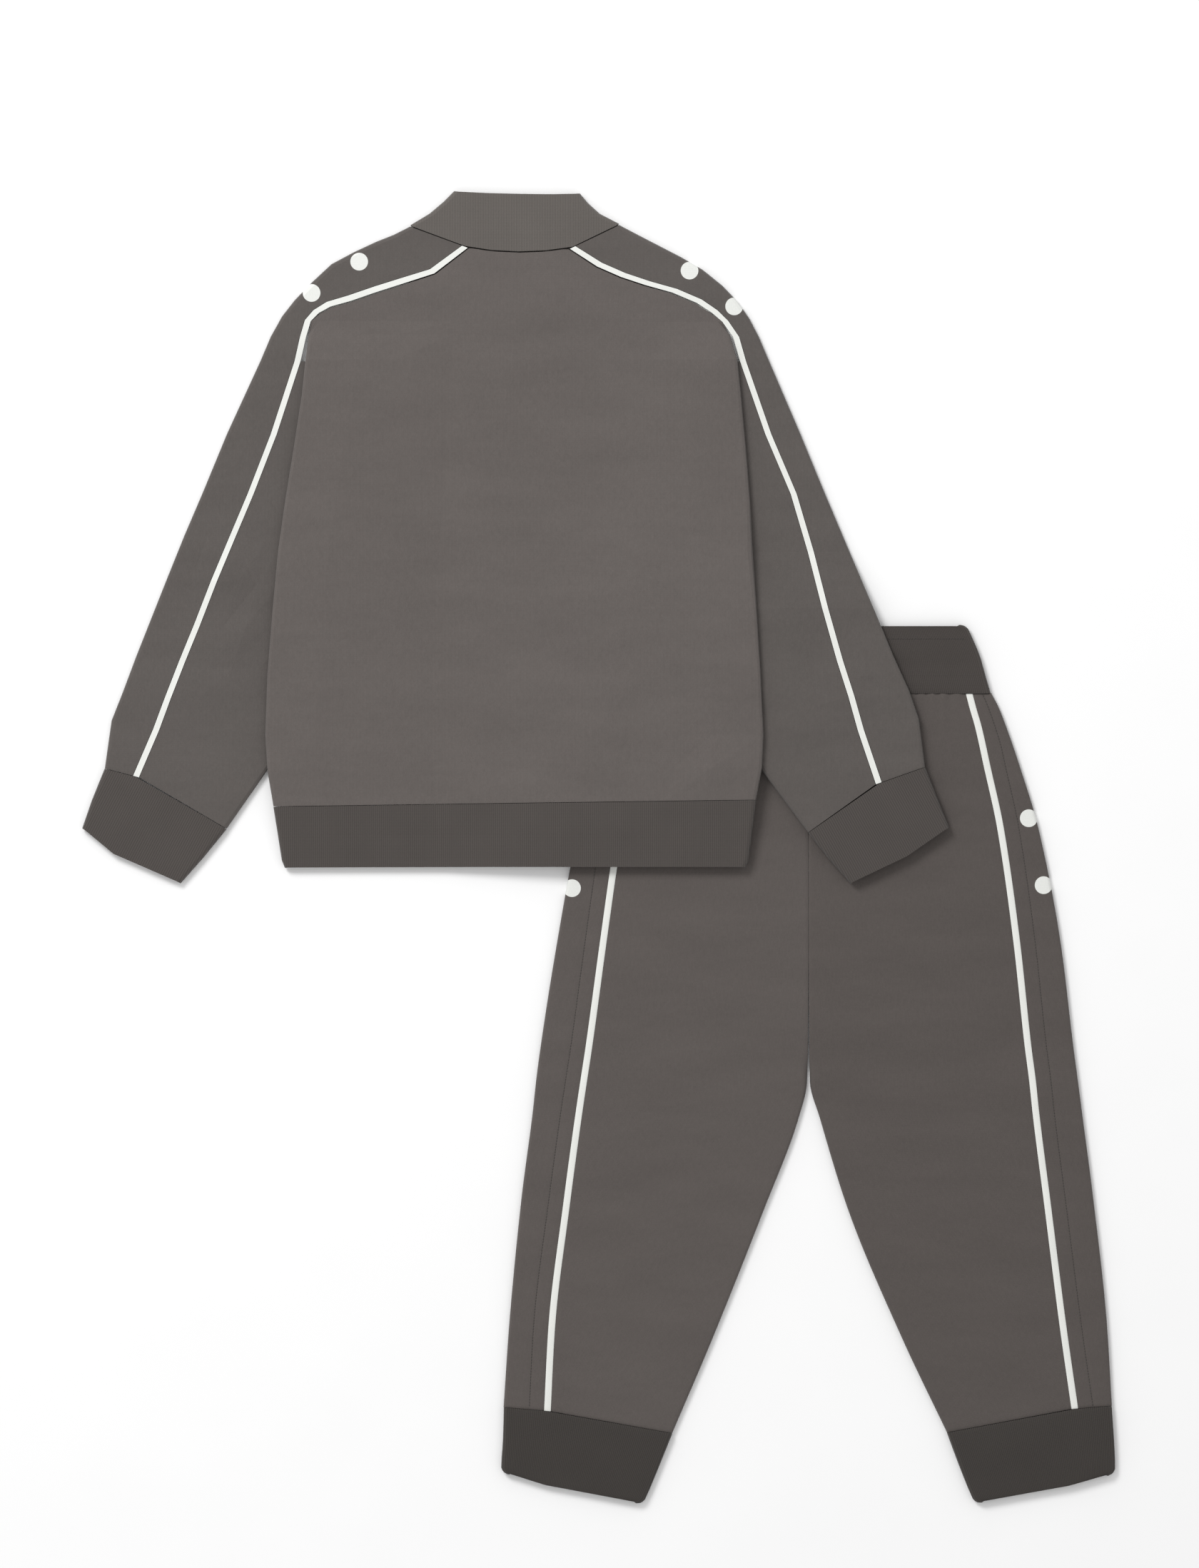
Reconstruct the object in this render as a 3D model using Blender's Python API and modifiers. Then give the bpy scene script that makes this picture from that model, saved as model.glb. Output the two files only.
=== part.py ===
"""Child's two-piece tracksuit laid flat with its back up: a zipped jacket over cuffed joggers.

All values are millimetres until a mesh is made. +X is the right-hand side of someone who looks down
at the back of the garment, +Y points to the collar, and +Z is up from the surface it lies on.

A cloth piece is a loft through rows of points on the middle of its wall, thickened to the cloth. At
a folded edge the wall turns through a half circle, from the layer on top to the layer underneath.
The jacket is carried up by the trousers under it, and its body by the sleeves under its sides.
"""

import math

import bmesh
import bpy
from mathutils import Vector

MM = 0.001

# Walls, and the places of the two layers
CLOTH = 1.6
RIB = 2.2
COLLAR_RIB = 2.4
PIPING = 2.0
LAYER_GAP = 1.0
SEAM_GAP = 0.3
ROLL_GAP = 0.85
ARMPIT_GAP = 2.8
SHOULDER_GAP = 1.0
PIPING_WIDTH = 4.0
FOLD_STEPS = 4
CLOTH_UPPER = CLOTH + LAYER_GAP + CLOTH / 2
RIB_UPPER = RIB + LAYER_GAP + RIB / 2

# How far the jacket is carried up, and where the cloth slopes down again beside what is under it
TROUSER_STACK = 6.1
SLEEVE_STACK = 5.0
STACK_MARGIN = 10.0
TROUSER_TOP_Y = 149.0
LOWER_SLOPE_X = 18.0
LOWER_SLOPE_Y = 38.0
UPPER_SLOPE = 80.0
SLEEVE_UNDER = 34.0
LOWER_SLOPE_END = 60.0
UPPER_SLOPE_END = 100.0
SLEEVE_TOP_Y = (354.0, 328.0)
SLEEVE_END_Y = (-14.0, 39.0)

# Extra height of the jacket's back near the hem and the neck, at places along it
FULLNESS_AT_Y = ((-20.0, 0.8), (28.0, 0.8), (76.0, 0.0), (345.0, 0.0), (375.0, 1.3), (450.0, 1.3))

ZIP_X = -57.0
ZIP_HALF_OPENING = 4.0

# Rows across a limb, from its cuff up: the outer fold, the middle of the piping and the inner edge
LEFT_SLEEVE = (
    # outer x, y    piping x, y    inner x, y
    (-332.0, 53.5, -311.0, 48.0, -250.0, 13.0),
    (-327.5, 85.5, -297.5, 79.5, -220.5, 55.5),
    (-320.0, 104.5, -289.5, 101.0, -208.5, 81.5),
    (-311.0, 128.5, -280.0, 125.5, -198.0, 112.0),
    (-301.5, 152.5, -270.0, 150.0, -190.5, 143.0),
    (-290.0, 181.5, -258.5, 179.5, -186.5, 175.5),
    (-278.5, 210.0, -246.0, 209.5, -185.5, 209.5),
    (-266.5, 238.0, -234.0, 238.0, -185.0, 238.0),
    (-250.0, 278.0, -218.5, 278.0, -184.0, 278.0),
    (-227.5, 327.0, -202.5, 327.0, -186.0, 327.0),
)
RIGHT_SLEEVE = (
    # outer x, y    piping x, y    inner x, y
    (219.0, 54.5, 188.0, 43.5, 140.5, 10.5),
    (215.0, 86.5, 176.0, 79.0, 109.5, 52.0),
    (208.5, 105.5, 169.5, 102.0, 96.5, 79.5),
    (198.5, 127.5, 162.0, 125.5, 86.0, 110.5),
    (184.5, 161.0, 152.0, 161.0, 77.0, 161.0),
    (168.5, 199.0, 142.5, 199.0, 74.0, 199.0),
    (152.0, 238.0, 131.0, 238.0, 74.5, 238.0),
    (135.5, 278.0, 114.0, 278.0, 77.0, 278.0),
    (114.5, 327.0, 97.0, 327.0, 80.5, 327.0),
)
# Rows across a shoulder, on from the sleeve to the neck
LEFT_SHOULDER = (
    # fold x, y    piping on the back x, y    piping on the front x, y
    (-220.5, 343.5, -198.8, 343.5, -198.8, 343.5),
    (-213.0, 357.0, -195.5, 354.5, -195.5, 354.5),
    (-204.5, 368.0, -190.0, 360.5, -190.0, 360.0),
    (-193.5, 379.5, -181.5, 365.5, -181.5, 364.5),
    (-179.5, 392.5, -167.5, 369.5, -168.5, 367.5),
    (-164.5, 400.5, -150.0, 375.5, -152.5, 371.5),
    (-149.5, 407.5, -131.0, 381.5, -136.0, 376.0),
    (-138.0, 412.0, -112.0, 387.5, -118.0, 380.5),
    (-127.0, 417.5, -90.0, 404.0, -96.5, 389.0),
)
RIGHT_SHOULDER = (
    # fold x, y    piping on the back x, y    piping on the front x, y
    (107.5, 343.5, 92.3, 343.5, 92.3, 343.5),
    (101.0, 356.0, 85.0, 354.0, 85.0, 354.0),
    (93.0, 367.5, 78.0, 360.5, 78.0, 360.0),
    (83.0, 378.0, 67.5, 367.5, 67.5, 366.0),
    (70.0, 388.5, 51.0, 374.5, 52.0, 371.0),
    (55.5, 397.0, 33.0, 379.5, 36.0, 374.5),
    (41.0, 404.5, 16.5, 385.0, 20.5, 378.5),
    (26.5, 412.0, 0.5, 392.0, 3.5, 383.0),
    (14.0, 418.5, -17.5, 403.5, -17.0, 389.0),
)
SLEEVE_CUFF_ROWS = {
    # outer x, y    middle x, y    inner x, y
    "left": (
        (-332.0, 53.5, -311.0, 48.0, -250.0, 13.0),
        (-340.5, 32.5, -320.0, 20.0, -265.5, -6.0),
        (-347.0, 13.5, -326.0, -4.0, -281.0, -23.5),
    ),
    "right": (
        (219.0, 54.5, 188.0, 43.5, 140.5, 10.5),
        (227.0, 34.0, 197.5, 18.0, 154.0, -6.5),
        (235.0, 14.0, 207.0, -5.5, 169.0, -23.5),
    ),
}

# The jacket's body between its side folds, from the hem seam up to the armholes
BODY_ROWS = (
    # left x, y    right x, y
    (-218.5, 28.0, 105.5, 32.5),
    (-222.5, 52.0, 109.5, 54.0),
    (-224.0, 76.0, 110.5, 76.0),
    (-222.5, 118.0, 108.5, 118.0),
    (-219.0, 161.0, 105.8, 161.0),
    (-215.5, 199.0, 103.3, 199.0),
    (-210.5, 234.0, 101.5, 234.0),
    (-205.0, 268.0, 98.8, 268.0),
    (-199.5, 304.0, 95.5, 304.0),
    (-197.0, 328.0, 93.0, 328.0),
    (-194.8, 345.0, 88.0, 345.0),
)
HEM_ROWS = (
    (-218.5, 27.7, 105.5, 32.2),
    (-215.5, 8.5, 102.5, 8.5),
    (-213.0, -8.0, 100.5, -8.0),
    (-211.0, -13.0, 98.5, -12.5),
)
# The neck seam on the back, from one shoulder fold to the other
NECK_BACK = (
    (-127.0, 417.5),
    (-90.0, 404.0),
    (-72.0, 401.2),
    (-53.7, 400.3),
    (-35.5, 401.0),
    (-17.5, 403.5),
    (14.0, 418.5),
)
# The neck seam on the front, from the left shoulder fold to the zip, and its right half
NECK_FRONT_LEFT = ((-127.0, 417.5), (-96.5, 389.0), (ZIP_X - ZIP_HALF_OPENING, 384.5))
NECK_FRONT_RIGHT = ((ZIP_X + ZIP_HALF_OPENING, 384.5), (-17.0, 389.0), (14.0, 418.5))
COLLAR_ROWS = (
    # left x, y    right x, y    dip of the back, of the front    height of the upper layer
    (-127.0, 418.2, 14.0, 419.2, 1.00, 1.00, 4.7),
    (-114.0, 426.0, 0.8, 426.0, 0.72, 0.84, 5.5),
    (-104.5, 434.0, -7.5, 433.5, 0.42, 0.66, 5.5),
    (-97.5, 441.0, -12.5, 439.5, 0.04, 0.47, 5.2),
)

# The trousers' rows, from the waistband's seam down to the cuffs
LEFT_LEG = (
    # outer x, y    piping x, y    inner x, y    roll of the inner edge
    (18.0, 103.7, 33.0, 103.7, 141.0, 103.7, 0.0),
    (13.0, 94.0, 30.5, 94.0, 141.0, 94.0, 0.0),
    (8.5, 82.0, 27.5, 82.0, 141.0, 82.0, 0.0),
    (-1.0, 55.0, 21.0, 55.0, 141.0, 55.0, 0.0),
    (-13.5, 13.5, 14.0, 13.5, 141.0, 13.5, 0.0),
    (-28.0, -63.5, 3.0, -63.5, 141.0, -63.5, 0.0),
    (-39.0, -133.0, -6.5, -133.0, 140.6, -133.0, 0.0),
    (-42.0, -155.5, -10.0, -156.0, 140.2, -157.0, 0.5),
    (-44.5, -178.5, -13.5, -179.5, 134.5, -181.5, 1.0),
    (-52.0, -236.0, -21.5, -238.5, 111.0, -243.5, 1.0),
    (-60.0, -318.0, -31.5, -321.0, 76.5, -330.0, 1.0),
    (-64.0, -376.0, -34.5, -378.5, 49.5, -393.5, 1.0),
)
RIGHT_LEG = (
    # outer x, y    piping x, y    inner x, y    roll of the inner edge
    (264.0, 103.7, 249.0, 103.7, 141.0, 103.7, 0.0),
    (269.0, 94.0, 251.5, 94.0, 141.0, 94.0, 0.0),
    (273.7, 82.0, 255.0, 82.0, 141.0, 82.0, 0.0),
    (283.0, 55.0, 261.0, 55.0, 141.0, 55.0, 0.0),
    (295.5, 13.5, 270.0, 13.5, 141.0, 13.5, 0.0),
    (310.5, -63.5, 281.0, -63.5, 141.0, -63.5, 0.0),
    (319.0, -133.0, 288.5, -133.0, 141.4, -133.0, 0.0),
    (322.0, -155.5, 291.5, -156.0, 141.8, -157.0, 0.5),
    (325.0, -178.5, 294.0, -179.5, 148.5, -181.5, 1.0),
    (332.5, -236.0, 301.5, -238.5, 168.0, -244.5, 1.0),
    (341.5, -318.0, 312.0, -321.0, 204.0, -330.0, 1.0),
    (345.0, -375.0, 320.0, -377.0, 234.0, -393.0, 1.0),
)
LEG_CUFF_ROWS = {
    # outer x, y    middle x, y    inner x, y
    "left": (
        (-64.0, -376.0, -34.5, -378.5, 49.5, -393.5),
        (-64.5, -397.0, -36.5, -403.0, 40.5, -416.0),
        (-66.0, -418.5, -36.0, -428.0, 30.5, -440.5),
    ),
    "right": (
        (345.0, -375.0, 320.0, -377.0, 234.0, -393.0),
        (346.5, -397.0, 318.0, -404.0, 242.5, -416.0),
        (347.5, -419.5, 316.0, -428.5, 252.0, -440.0),
    ),
}
WAISTBAND_ROWS = (
    # left x    right x    y
    (18.5, 263.5, 104.0),
    (22.0, 260.0, 116.0),
    (26.0, 256.5, 128.5),
    (30.5, 251.5, 140.5),
    (34.0, 248.0, 149.0),
)

# Largest folds of the upper layer: both ends of the crest, its half width and its height
SOFT_FOLDS = (
    # x, y    x, y    half width    height
    (-262.0, 190.0, -238.0, 154.0, 15.0, 1.6),
    (-254.0, 128.0, -237.0, 112.0, 13.0, 1.2),
    (-285.0, 96.0, -255.0, 84.0, 12.0, 1.0),
    (126.0, 126.0, 150.0, 146.0, 15.0, 1.6),
    (126.0, 86.0, 166.0, 103.0, 13.0, 1.4),
    (60.0, 46.0, 84.0, 60.0, 12.0, 1.2),
)
GATHERS_PER_BACK = 10
GATHER_HEIGHT = 1.0
GATHER_BEAT = 1.2
GATHER_MEAN = 0.75
SLEEVE_PARTS = 5
FRONT_PARTS = 4
OVERARM_PARTS = 2
CUFF_PARTS = 2
WAISTBAND_PARTS = 3

# Shares of the body's width where its columns lie
NEAR_SHARE = 0.16
FAR_SHARE = 0.27
RISE_START_SHARE = 0.3
RISE_END_SHARE = 0.6

# Zip: a coil on two tapes, a slider at its top and the slider's pull tab
TAPE = 0.5
TAPE_WIDTH = 7.5
TAPE_LIFT = 0.15
# Distances below the slider where the tapes start and stop stepping out round it
TAPE_STEP = (2.0, 1.0)
TEETH_WIDTH = 4.0
TEETH_THICK = 1.0
TEETH_Z = 1.9
ZIP_BOTTOM_Y = -10.0
TAPE_TOP_Y = 424.0
SLIDER_SIZE = (7.0, 11.0, 1.85)
SLIDER_Y = 416.5
SLIDER_Z = 2.05
SLIDER_ROUND = 0.5
BRIDGE_SIZE = (2.0, 5.0, 1.8)
BRIDGE_ROOT = 0.2
BRIDGE_OPENING = 3.0
TAB_SIZE = (6.0, 20.0, 0.8)
TAB_HOLE = (3.0, 3.6)
TAB_AXIS_Z = 1.45
BAR_SIDES = 12
CUT_THROUGH = 4
# Extra height of the zip where it lies on the hem band and on the collar
ZIP_RISE_AT_Y = ((-20.0, 0.6), (34.0, 0.6), (52.0, 0.0), (358.0, 0.0), (382.0, 0.9), (450.0, 0.9))

# Colours as linear red, green and blue, with roughness and metallic
FINISHES = {
    "jersey": ((0.122, 0.107, 0.100), 0.95, 0.0),
    "leg_jersey": ((0.105, 0.090, 0.083), 0.95, 0.0),
    "rib": ((0.078, 0.068, 0.062), 0.95, 0.0),
    "leg_rib": ((0.052, 0.046, 0.042), 0.95, 0.0),
    "piping": ((0.87, 0.88, 0.85), 0.6, 0.0),
    "tape": ((0.105, 0.092, 0.086), 0.9, 0.0),
    "coil": ((0.060, 0.052, 0.048), 0.5, 0.0),
    "metal": ((0.25, 0.24, 0.23), 0.35, 1.0),
}


def clamp(value):
    return min(1.0, max(0.0, value))


def ramp(value, start, end):
    """From 0 at start to 1 at end, in either direction."""
    return clamp((value - start) / (end - start))


def blend(a, b, share):
    return a + (b - a) * share


def between(pairs, at):
    """Value at a place, on straight lines through (place, value) pairs in rising order."""
    for (place, value), (next_place, next_value) in zip(pairs, pairs[1:]):
        if at <= next_place:
            return blend(value, next_value, ramp(at, place, next_place))
    return pairs[-1][1]


def spread(start, end, parts):
    """Points from start to end, both included, in equal parts."""
    return [start.lerp(end, step / parts) for step in range(parts + 1)]


def over_trousers(point, slope_x=LOWER_SLOPE_X, slope_y=LOWER_SLOPE_Y):
    """How far the trousers under it carry the jacket up at a point."""
    plateau = trouser_edge(point.y) - STACK_MARGIN
    across = ramp(point.x, plateau - slope_x, plateau)
    plateau = TROUSER_TOP_Y + STACK_MARGIN
    along = ramp(point.y, plateau + slope_y, plateau)
    return TROUSER_STACK * across * along


def trouser_edge(y):
    """Left side of the trousers at a height on the garment."""
    outline = [(row[1], row[0]) for row in reversed(LEFT_LEG)]
    return between(outline + [(row[2], row[0]) for row in WAISTBAND_ROWS], y)


def over_sleeve(from_side, y, slope_end):
    """How far a sleeve carries the body up, at a distance in from the body's side."""
    along = ramp(y, *SLEEVE_TOP_Y) * ramp(y, *SLEEVE_END_Y)
    return SLEEVE_STACK * along * ramp(from_side, slope_end, SLEEVE_UNDER)


def soft_folds(point):
    """Height of the upper layer's folds at a point."""
    height = 0.0
    for x1, y1, x2, y2, half_width, crest in SOFT_FOLDS:
        start = Vector((x1, y1))
        along = Vector((x2, y2)) - start
        share = clamp((point - start).dot(along) / along.length_squared)
        distance = (point - start - along * share).length
        height += crest * max(0.0, 1.0 - (distance / half_width) ** 2)
    return height


def on_floor(point):
    return 0.0


def jacket_height(point):
    """Middle of the jacket's upper layer above the lower layer's underside."""
    return CLOTH_UPPER + between(FULLNESS_AT_Y, point.y) + soft_folds(point)


def trouser_height(point):
    return CLOTH_UPPER


def raised(point, z):
    return Vector((point.x, point.y, z))


def towards(start, end):
    return (end - start).normalized()


def half_turn(edge, inward_top, inward_bottom, top, bottom, wall):
    """Points round a folded edge, from the layer on top to the layer underneath."""
    radius = (top - bottom) / 2
    points = []
    for step in range(FOLD_STEPS + 1):
        share = step / FOLD_STEPS
        inward = inward_top.lerp(inward_bottom, share).normalized()
        place = edge + inward * (radius + wall / 2 - radius * math.sin(math.pi * share))
        points.append(raised(place, bottom + radius * (1 + math.cos(math.pi * share))))
    return points


def rolled_edge(edge, inward, top, bottom, wall, roll):
    """Points of a wall's edge strip that lies flat at roll 0 and turns right under at roll 1."""
    radius = (top - bottom) / 2
    points = []
    for step in range(FOLD_STEPS + 1):
        length = math.pi * radius * step / FOLD_STEPS
        if roll == 0.0:
            points.append(raised(edge + inward * (math.pi * radius - length), top))
            continue
        bend = radius / roll
        place = edge + inward * (bend + wall / 2 - bend * math.sin(length / bend))
        points.append(raised(place, top - bend * (1 - math.cos(length / bend))))
    return points


def past_piping(row_start, seam, gap=SEAM_GAP):
    """Cut edge of the panel beyond the piping, on a row that comes from row_start."""
    return seam + towards(row_start, seam) * (PIPING_WIDTH / 2 + gap)


GARMENT = bpy.data.collections.new("tracksuit")
CUTTERS = bpy.data.collections.new("cutters")


def add_object(name, mesh, finish):
    colour, roughness, metallic = FINISHES[finish]
    material = bpy.data.materials.new(name)
    material.use_nodes = True
    shader = material.node_tree.nodes["Principled BSDF"]
    shader.inputs["Base Color"].default_value = (*colour, 1.0)
    shader.inputs["Roughness"].default_value = roughness
    shader.inputs["Metallic"].default_value = metallic
    mesh.materials.append(material)
    made = bpy.data.objects.new(name, mesh)
    GARMENT.objects.link(made)
    return made


def cloth(name, rows, wall, finish, closed=False):
    """Loft rows of middle points into a sheet, or a tube where they close, and thicken it."""
    build = bmesh.new()
    made = [[build.verts.new(point * MM) for point in row] for row in rows]
    for row, after in zip(made, made[1:]):
        if closed:
            row = row + row[:1]
            after = after + after[:1]
        for a, b, c, d in zip(row, row[1:], after[1:], after):
            build.faces.new((a, b, c, d))
    mesh = bpy.data.meshes.new(name)
    build.to_mesh(mesh)
    build.free()
    piece = add_object(name, mesh, finish)
    thicken = piece.modifiers.new("wall", "SOLIDIFY")
    thicken.thickness = wall * MM
    thicken.offset = 0.0
    thicken.use_even_offset = True
    return piece


def limb_rows(table):
    """Outer, piping and inner points of each row of a limb, and the roll of its inner edge."""
    rows = []
    for row in table:
        roll = row[6] if len(row) > 6 else 1.0
        rows.append((Vector(row[0:2]), Vector(row[2:4]), Vector(row[4:6]), roll))
    return rows


def side_strip(name, rows, lift_at, height_at, finish):
    """Strip round the outer fold, from the piping on the back to the piping on the front."""
    lofted = []
    for fold, back_seam, front_seam in rows:
        lift = lift_at(fold)
        ends = (towards(fold, back_seam), towards(fold, front_seam))
        turn = half_turn(fold, *ends, lift + height_at(fold), lift + CLOTH / 2, CLOTH)
        back_edge = back_seam - ends[0] * (PIPING_WIDTH / 2 + SEAM_GAP)
        front_edge = front_seam - ends[1] * (PIPING_WIDTH / 2 + SEAM_GAP)
        back = spread(back_edge, turn[0].xy, OVERARM_PARTS)[:-1]
        front = spread(turn[-1].xy, front_edge, OVERARM_PARTS)[1:]
        row = [raised(point, lift_at(point) + height_at(point)) for point in back]
        row += turn
        row += [raised(point, lift_at(point) + CLOTH / 2) for point in front]
        lofted.append(row)
    cloth(name, lofted, CLOTH, finish)


def piping_strips(name, rows, lift_at, height_at):
    """The piping on the back and on the front, each a flat strip between two panels."""
    back = []
    front = []
    for fold, back_seam, front_seam in rows:
        half = towards(back_seam, fold) * PIPING_WIDTH / 2
        ends = (back_seam + half, back_seam - half)
        back.append([raised(point, lift_at(point) + height_at(point)) for point in ends])
        half = towards(front_seam, fold) * PIPING_WIDTH / 2
        ends = (front_seam + half, front_seam - half)
        front.append([raised(point, lift_at(point) + PIPING / 2) for point in ends])
    cloth(name.format("back"), back, PIPING, "piping")
    cloth(name.format("front"), front, PIPING, "piping")


def limb_panels(name, rows, lift_at, height_at, finish, parts, gathered_rows=()):
    """Back and front panels inside the piping; the back's inner edge rolls under to the front."""
    back = []
    front = []
    for place, (outer, seam, inner, roll) in enumerate(rows):
        edge = past_piping(outer, seam)
        inward = towards(inner, seam)
        side = inner + inward * SEAM_GAP / 2
        lift = lift_at(inner)
        top = lift + height_at(side)
        bottom = lift + CLOTH / 2
        strip = rolled_edge(side, inward, top, bottom, CLOTH, roll)
        flat = spread(edge, strip[0].xy, parts)[:-1]
        row = [raised(point, lift_at(point) + height_at(point)) for point in flat]
        if place < len(gathered_rows):
            for column in range(1, parts, 2):
                uneven = GATHER_MEAN + (1 - GATHER_MEAN) * math.sin(GATHER_BEAT * column)
                row[column].z += gathered_rows[place] * uneven
        back.append(row + strip)
        under = (top - bottom + CLOTH) / 2 + ROLL_GAP if roll else 0.0
        flat = spread(edge, side + inward * under, FRONT_PARTS)
        front.append([raised(point, lift_at(point) + CLOTH / 2) for point in flat])
    cloth(name.format("back"), back, CLOTH, finish)
    cloth(name.format("front"), front, CLOTH, finish)


def rib_tube(name, rows, lift_at, finish, parts):
    """Closed tube of rib lying flat: its upper layer, inner fold, lower layer and outer fold."""
    lofted = []
    for outer, middle, inner in rows:
        turns = []
        for fold in (outer, inner):
            lift = lift_at(fold)
            inward = towards(fold, middle)
            turns.append(half_turn(fold, inward, inward, lift + RIB_UPPER, lift + RIB / 2, RIB))
        upper = spread(turns[0][0].xy, middle, parts)[1:]
        upper += spread(middle, turns[1][0].xy, parts)[1:-1]
        row = [raised(point, lift_at(point) + RIB_UPPER) for point in upper]
        row += turns[1]
        row += [raised(point, lift_at(point) + RIB / 2) for point in reversed(upper)]
        row += turns[0][::-1]
        lofted.append(row)
    cloth(name, lofted, RIB, finish, closed=True)


def cuff_rows(table):
    """Rows of a cuff, the first one drawn back from the seam by the gap."""
    rows = [tuple(Vector(row[at : at + 2]) for at in (0, 2, 4)) for row in table]
    seam = tuple(point + towards(point, after) * SEAM_GAP for point, after in zip(*rows[:2]))
    return [seam] + rows[1:]


def column_places(left, right, y):
    """Places of the body's columns: on the zip's edges and where the slopes start and end."""
    near = min(SLEEVE_UNDER, NEAR_SHARE * (right - left))
    far = min(LOWER_SLOPE_END, FAR_SHARE * (right - left))
    plateau = trouser_edge(y) - STACK_MARGIN
    zip_left = ZIP_X - ZIP_HALF_OPENING
    zip_right = ZIP_X + ZIP_HALF_OPENING
    last = right - far
    rise_end = min(plateau, blend(zip_right, last, RISE_END_SHARE))
    rise_start = min(plateau - LOWER_SLOPE_X, blend(zip_right, last, RISE_START_SHARE))
    left_half = [left + near, left + far, (left + far + zip_left) / 2, zip_left]
    right_half = [zip_right, rise_start, rise_end, (rise_end + last) / 2, last, right - near]
    return left_half, right_half


def body_ends():
    """Ends of the body's rows: at the side folds, and then at the piping over the shoulders."""
    rows = [(Vector(row[0:2]), Vector(row[2:4]), 1.0) for row in BODY_ROWS]
    for left, right in zip(LEFT_SHOULDER[1:], RIGHT_SHOULDER[1:]):
        left_end = past_piping(Vector(left[0:2]), Vector(left[2:4]), SHOULDER_GAP)
        right_end = past_piping(Vector(right[0:2]), Vector(right[2:4]), SHOULDER_GAP)
        rows.append((left_end, right_end, 0.0))
    return rows


def body_lifts(point, from_side):
    """How far the lower and the upper layer of the body are carried up at a point."""
    low = over_trousers(point) + over_sleeve(from_side, point.y, LOWER_SLOPE_END)
    high = over_trousers(point, UPPER_SLOPE, UPPER_SLOPE)
    high += over_sleeve(from_side, point.y, UPPER_SLOPE_END)
    return low, high


def body_edge(edge, inward, wall, height, roll):
    """Edge strip of the body's upper layer at one end of a row."""
    low, high = body_lifts(edge, 0.0)
    return rolled_edge(edge, inward, high + height, low + wall / 2, wall, roll)


def on_row(left, right, x):
    return left.lerp(right, (x - left.x) / (right.x - left.x))


def jacket_back():
    rows = body_ends()
    lofted = []
    for place, (left, right, roll) in enumerate(rows):
        columns = sum(column_places(left.x, right.x, left.y), [])
        across = towards(left, right)
        row = body_edge(left, across, CLOTH, jacket_height(left), roll)[::-1]
        for x in columns:
            point = on_row(left, right, x)
            lift = body_lifts(point, min(x - left.x, right.x - x))[1]
            row.append(raised(point, lift + jacket_height(point)))
        row += body_edge(right, -across, CLOTH, jacket_height(right), roll)
        if place == len(rows) - 1:
            for point in row:
                point.y = min(point.y, between(NECK_BACK, point.x) - SEAM_GAP)
        lofted.append(row)
    cloth("jacket_back", lofted, CLOTH, "jersey")


def jacket_front(side):
    """One front, under the back: from the zip to the side fold, and to the front piping above."""
    right_side = side == "right"
    neck = NECK_FRONT_RIGHT if right_side else NECK_FRONT_LEFT
    lofted = []
    for left, right, _ in body_ends()[: len(BODY_ROWS)]:
        edge = right if right_side else left
        across = towards(left, right) * (-1.0 if right_side else 1.0)
        turned = body_edge(edge, across, CLOTH, jacket_height(edge), 1.0)[-1]
        start = turned.xy + across * (ARMPIT_GAP if left.y == BODY_ROWS[-1][1] else ROLL_GAP)
        half = column_places(left.x, right.x, left.y)[right_side]
        points = [on_row(left, right, x) for x in half]
        points = points + [start] if right_side else [start] + points
        row = []
        for point in points:
            from_side = (point - edge).length
            row.append(raised(point, body_lifts(point, from_side)[0] + CLOTH / 2))
        lofted.append(row)
    for left, right in zip(LEFT_SHOULDER[1:], RIGHT_SHOULDER[1:]):
        own = right if right_side else left
        edge = past_piping(Vector(own[0:2]), Vector(own[4:6]))
        zip_edge = Vector((ZIP_X + (ZIP_HALF_OPENING if right_side else -ZIP_HALF_OPENING), 0.0))
        level = (left[5] + right[5]) / 2
        zip_edge.y = min(level, neck[0 if right_side else -1][1])
        ends = (zip_edge, edge) if right_side else (edge, zip_edge)
        points = spread(*ends, len(lofted[0]) - 1)
        lofted.append([raised(point, CLOTH / 2) for point in points])
    cloth(f"jacket_front_{side}", lofted, CLOTH, "jersey")


def hem_band():
    """Rib band round the hem, open at the zip: left front, back and right front in one strip."""
    lofted = []
    for x1, y1, x2, y2 in HEM_ROWS:
        left = Vector((x1, y1))
        right = Vector((x2, y2))
        across = towards(left, right)
        left_half, right_half = column_places(x1, x2, y1)
        low = {}
        high = {}
        for x in left_half + right_half:
            point = on_row(left, right, x)
            low_lift, high_lift = body_lifts(point, min(x - x1, x2 - x))
            low[x] = raised(point, low_lift + RIB / 2)
            high[x] = raised(point, high_lift + RIB_UPPER)
        row = [low[x] for x in reversed(left_half)]
        row += body_edge(left, across, RIB, RIB_UPPER, 1.0)[::-1]
        row += [high[x] for x in left_half + right_half]
        row += body_edge(right, -across, RIB, RIB_UPPER, 1.0)
        row += [low[x] for x in reversed(right_half)]
        lofted.append(row)
    cloth("jacket_hem_band", lofted, RIB, "rib")


def neck_dip(neck, x):
    """How far the neck seam lies below the straight line between the shoulder folds."""
    share = (x - NECK_BACK[0][0]) / (NECK_BACK[-1][0] - NECK_BACK[0][0])
    return blend(NECK_BACK[0][1], NECK_BACK[-1][1], share) - between(neck, x)


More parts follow.
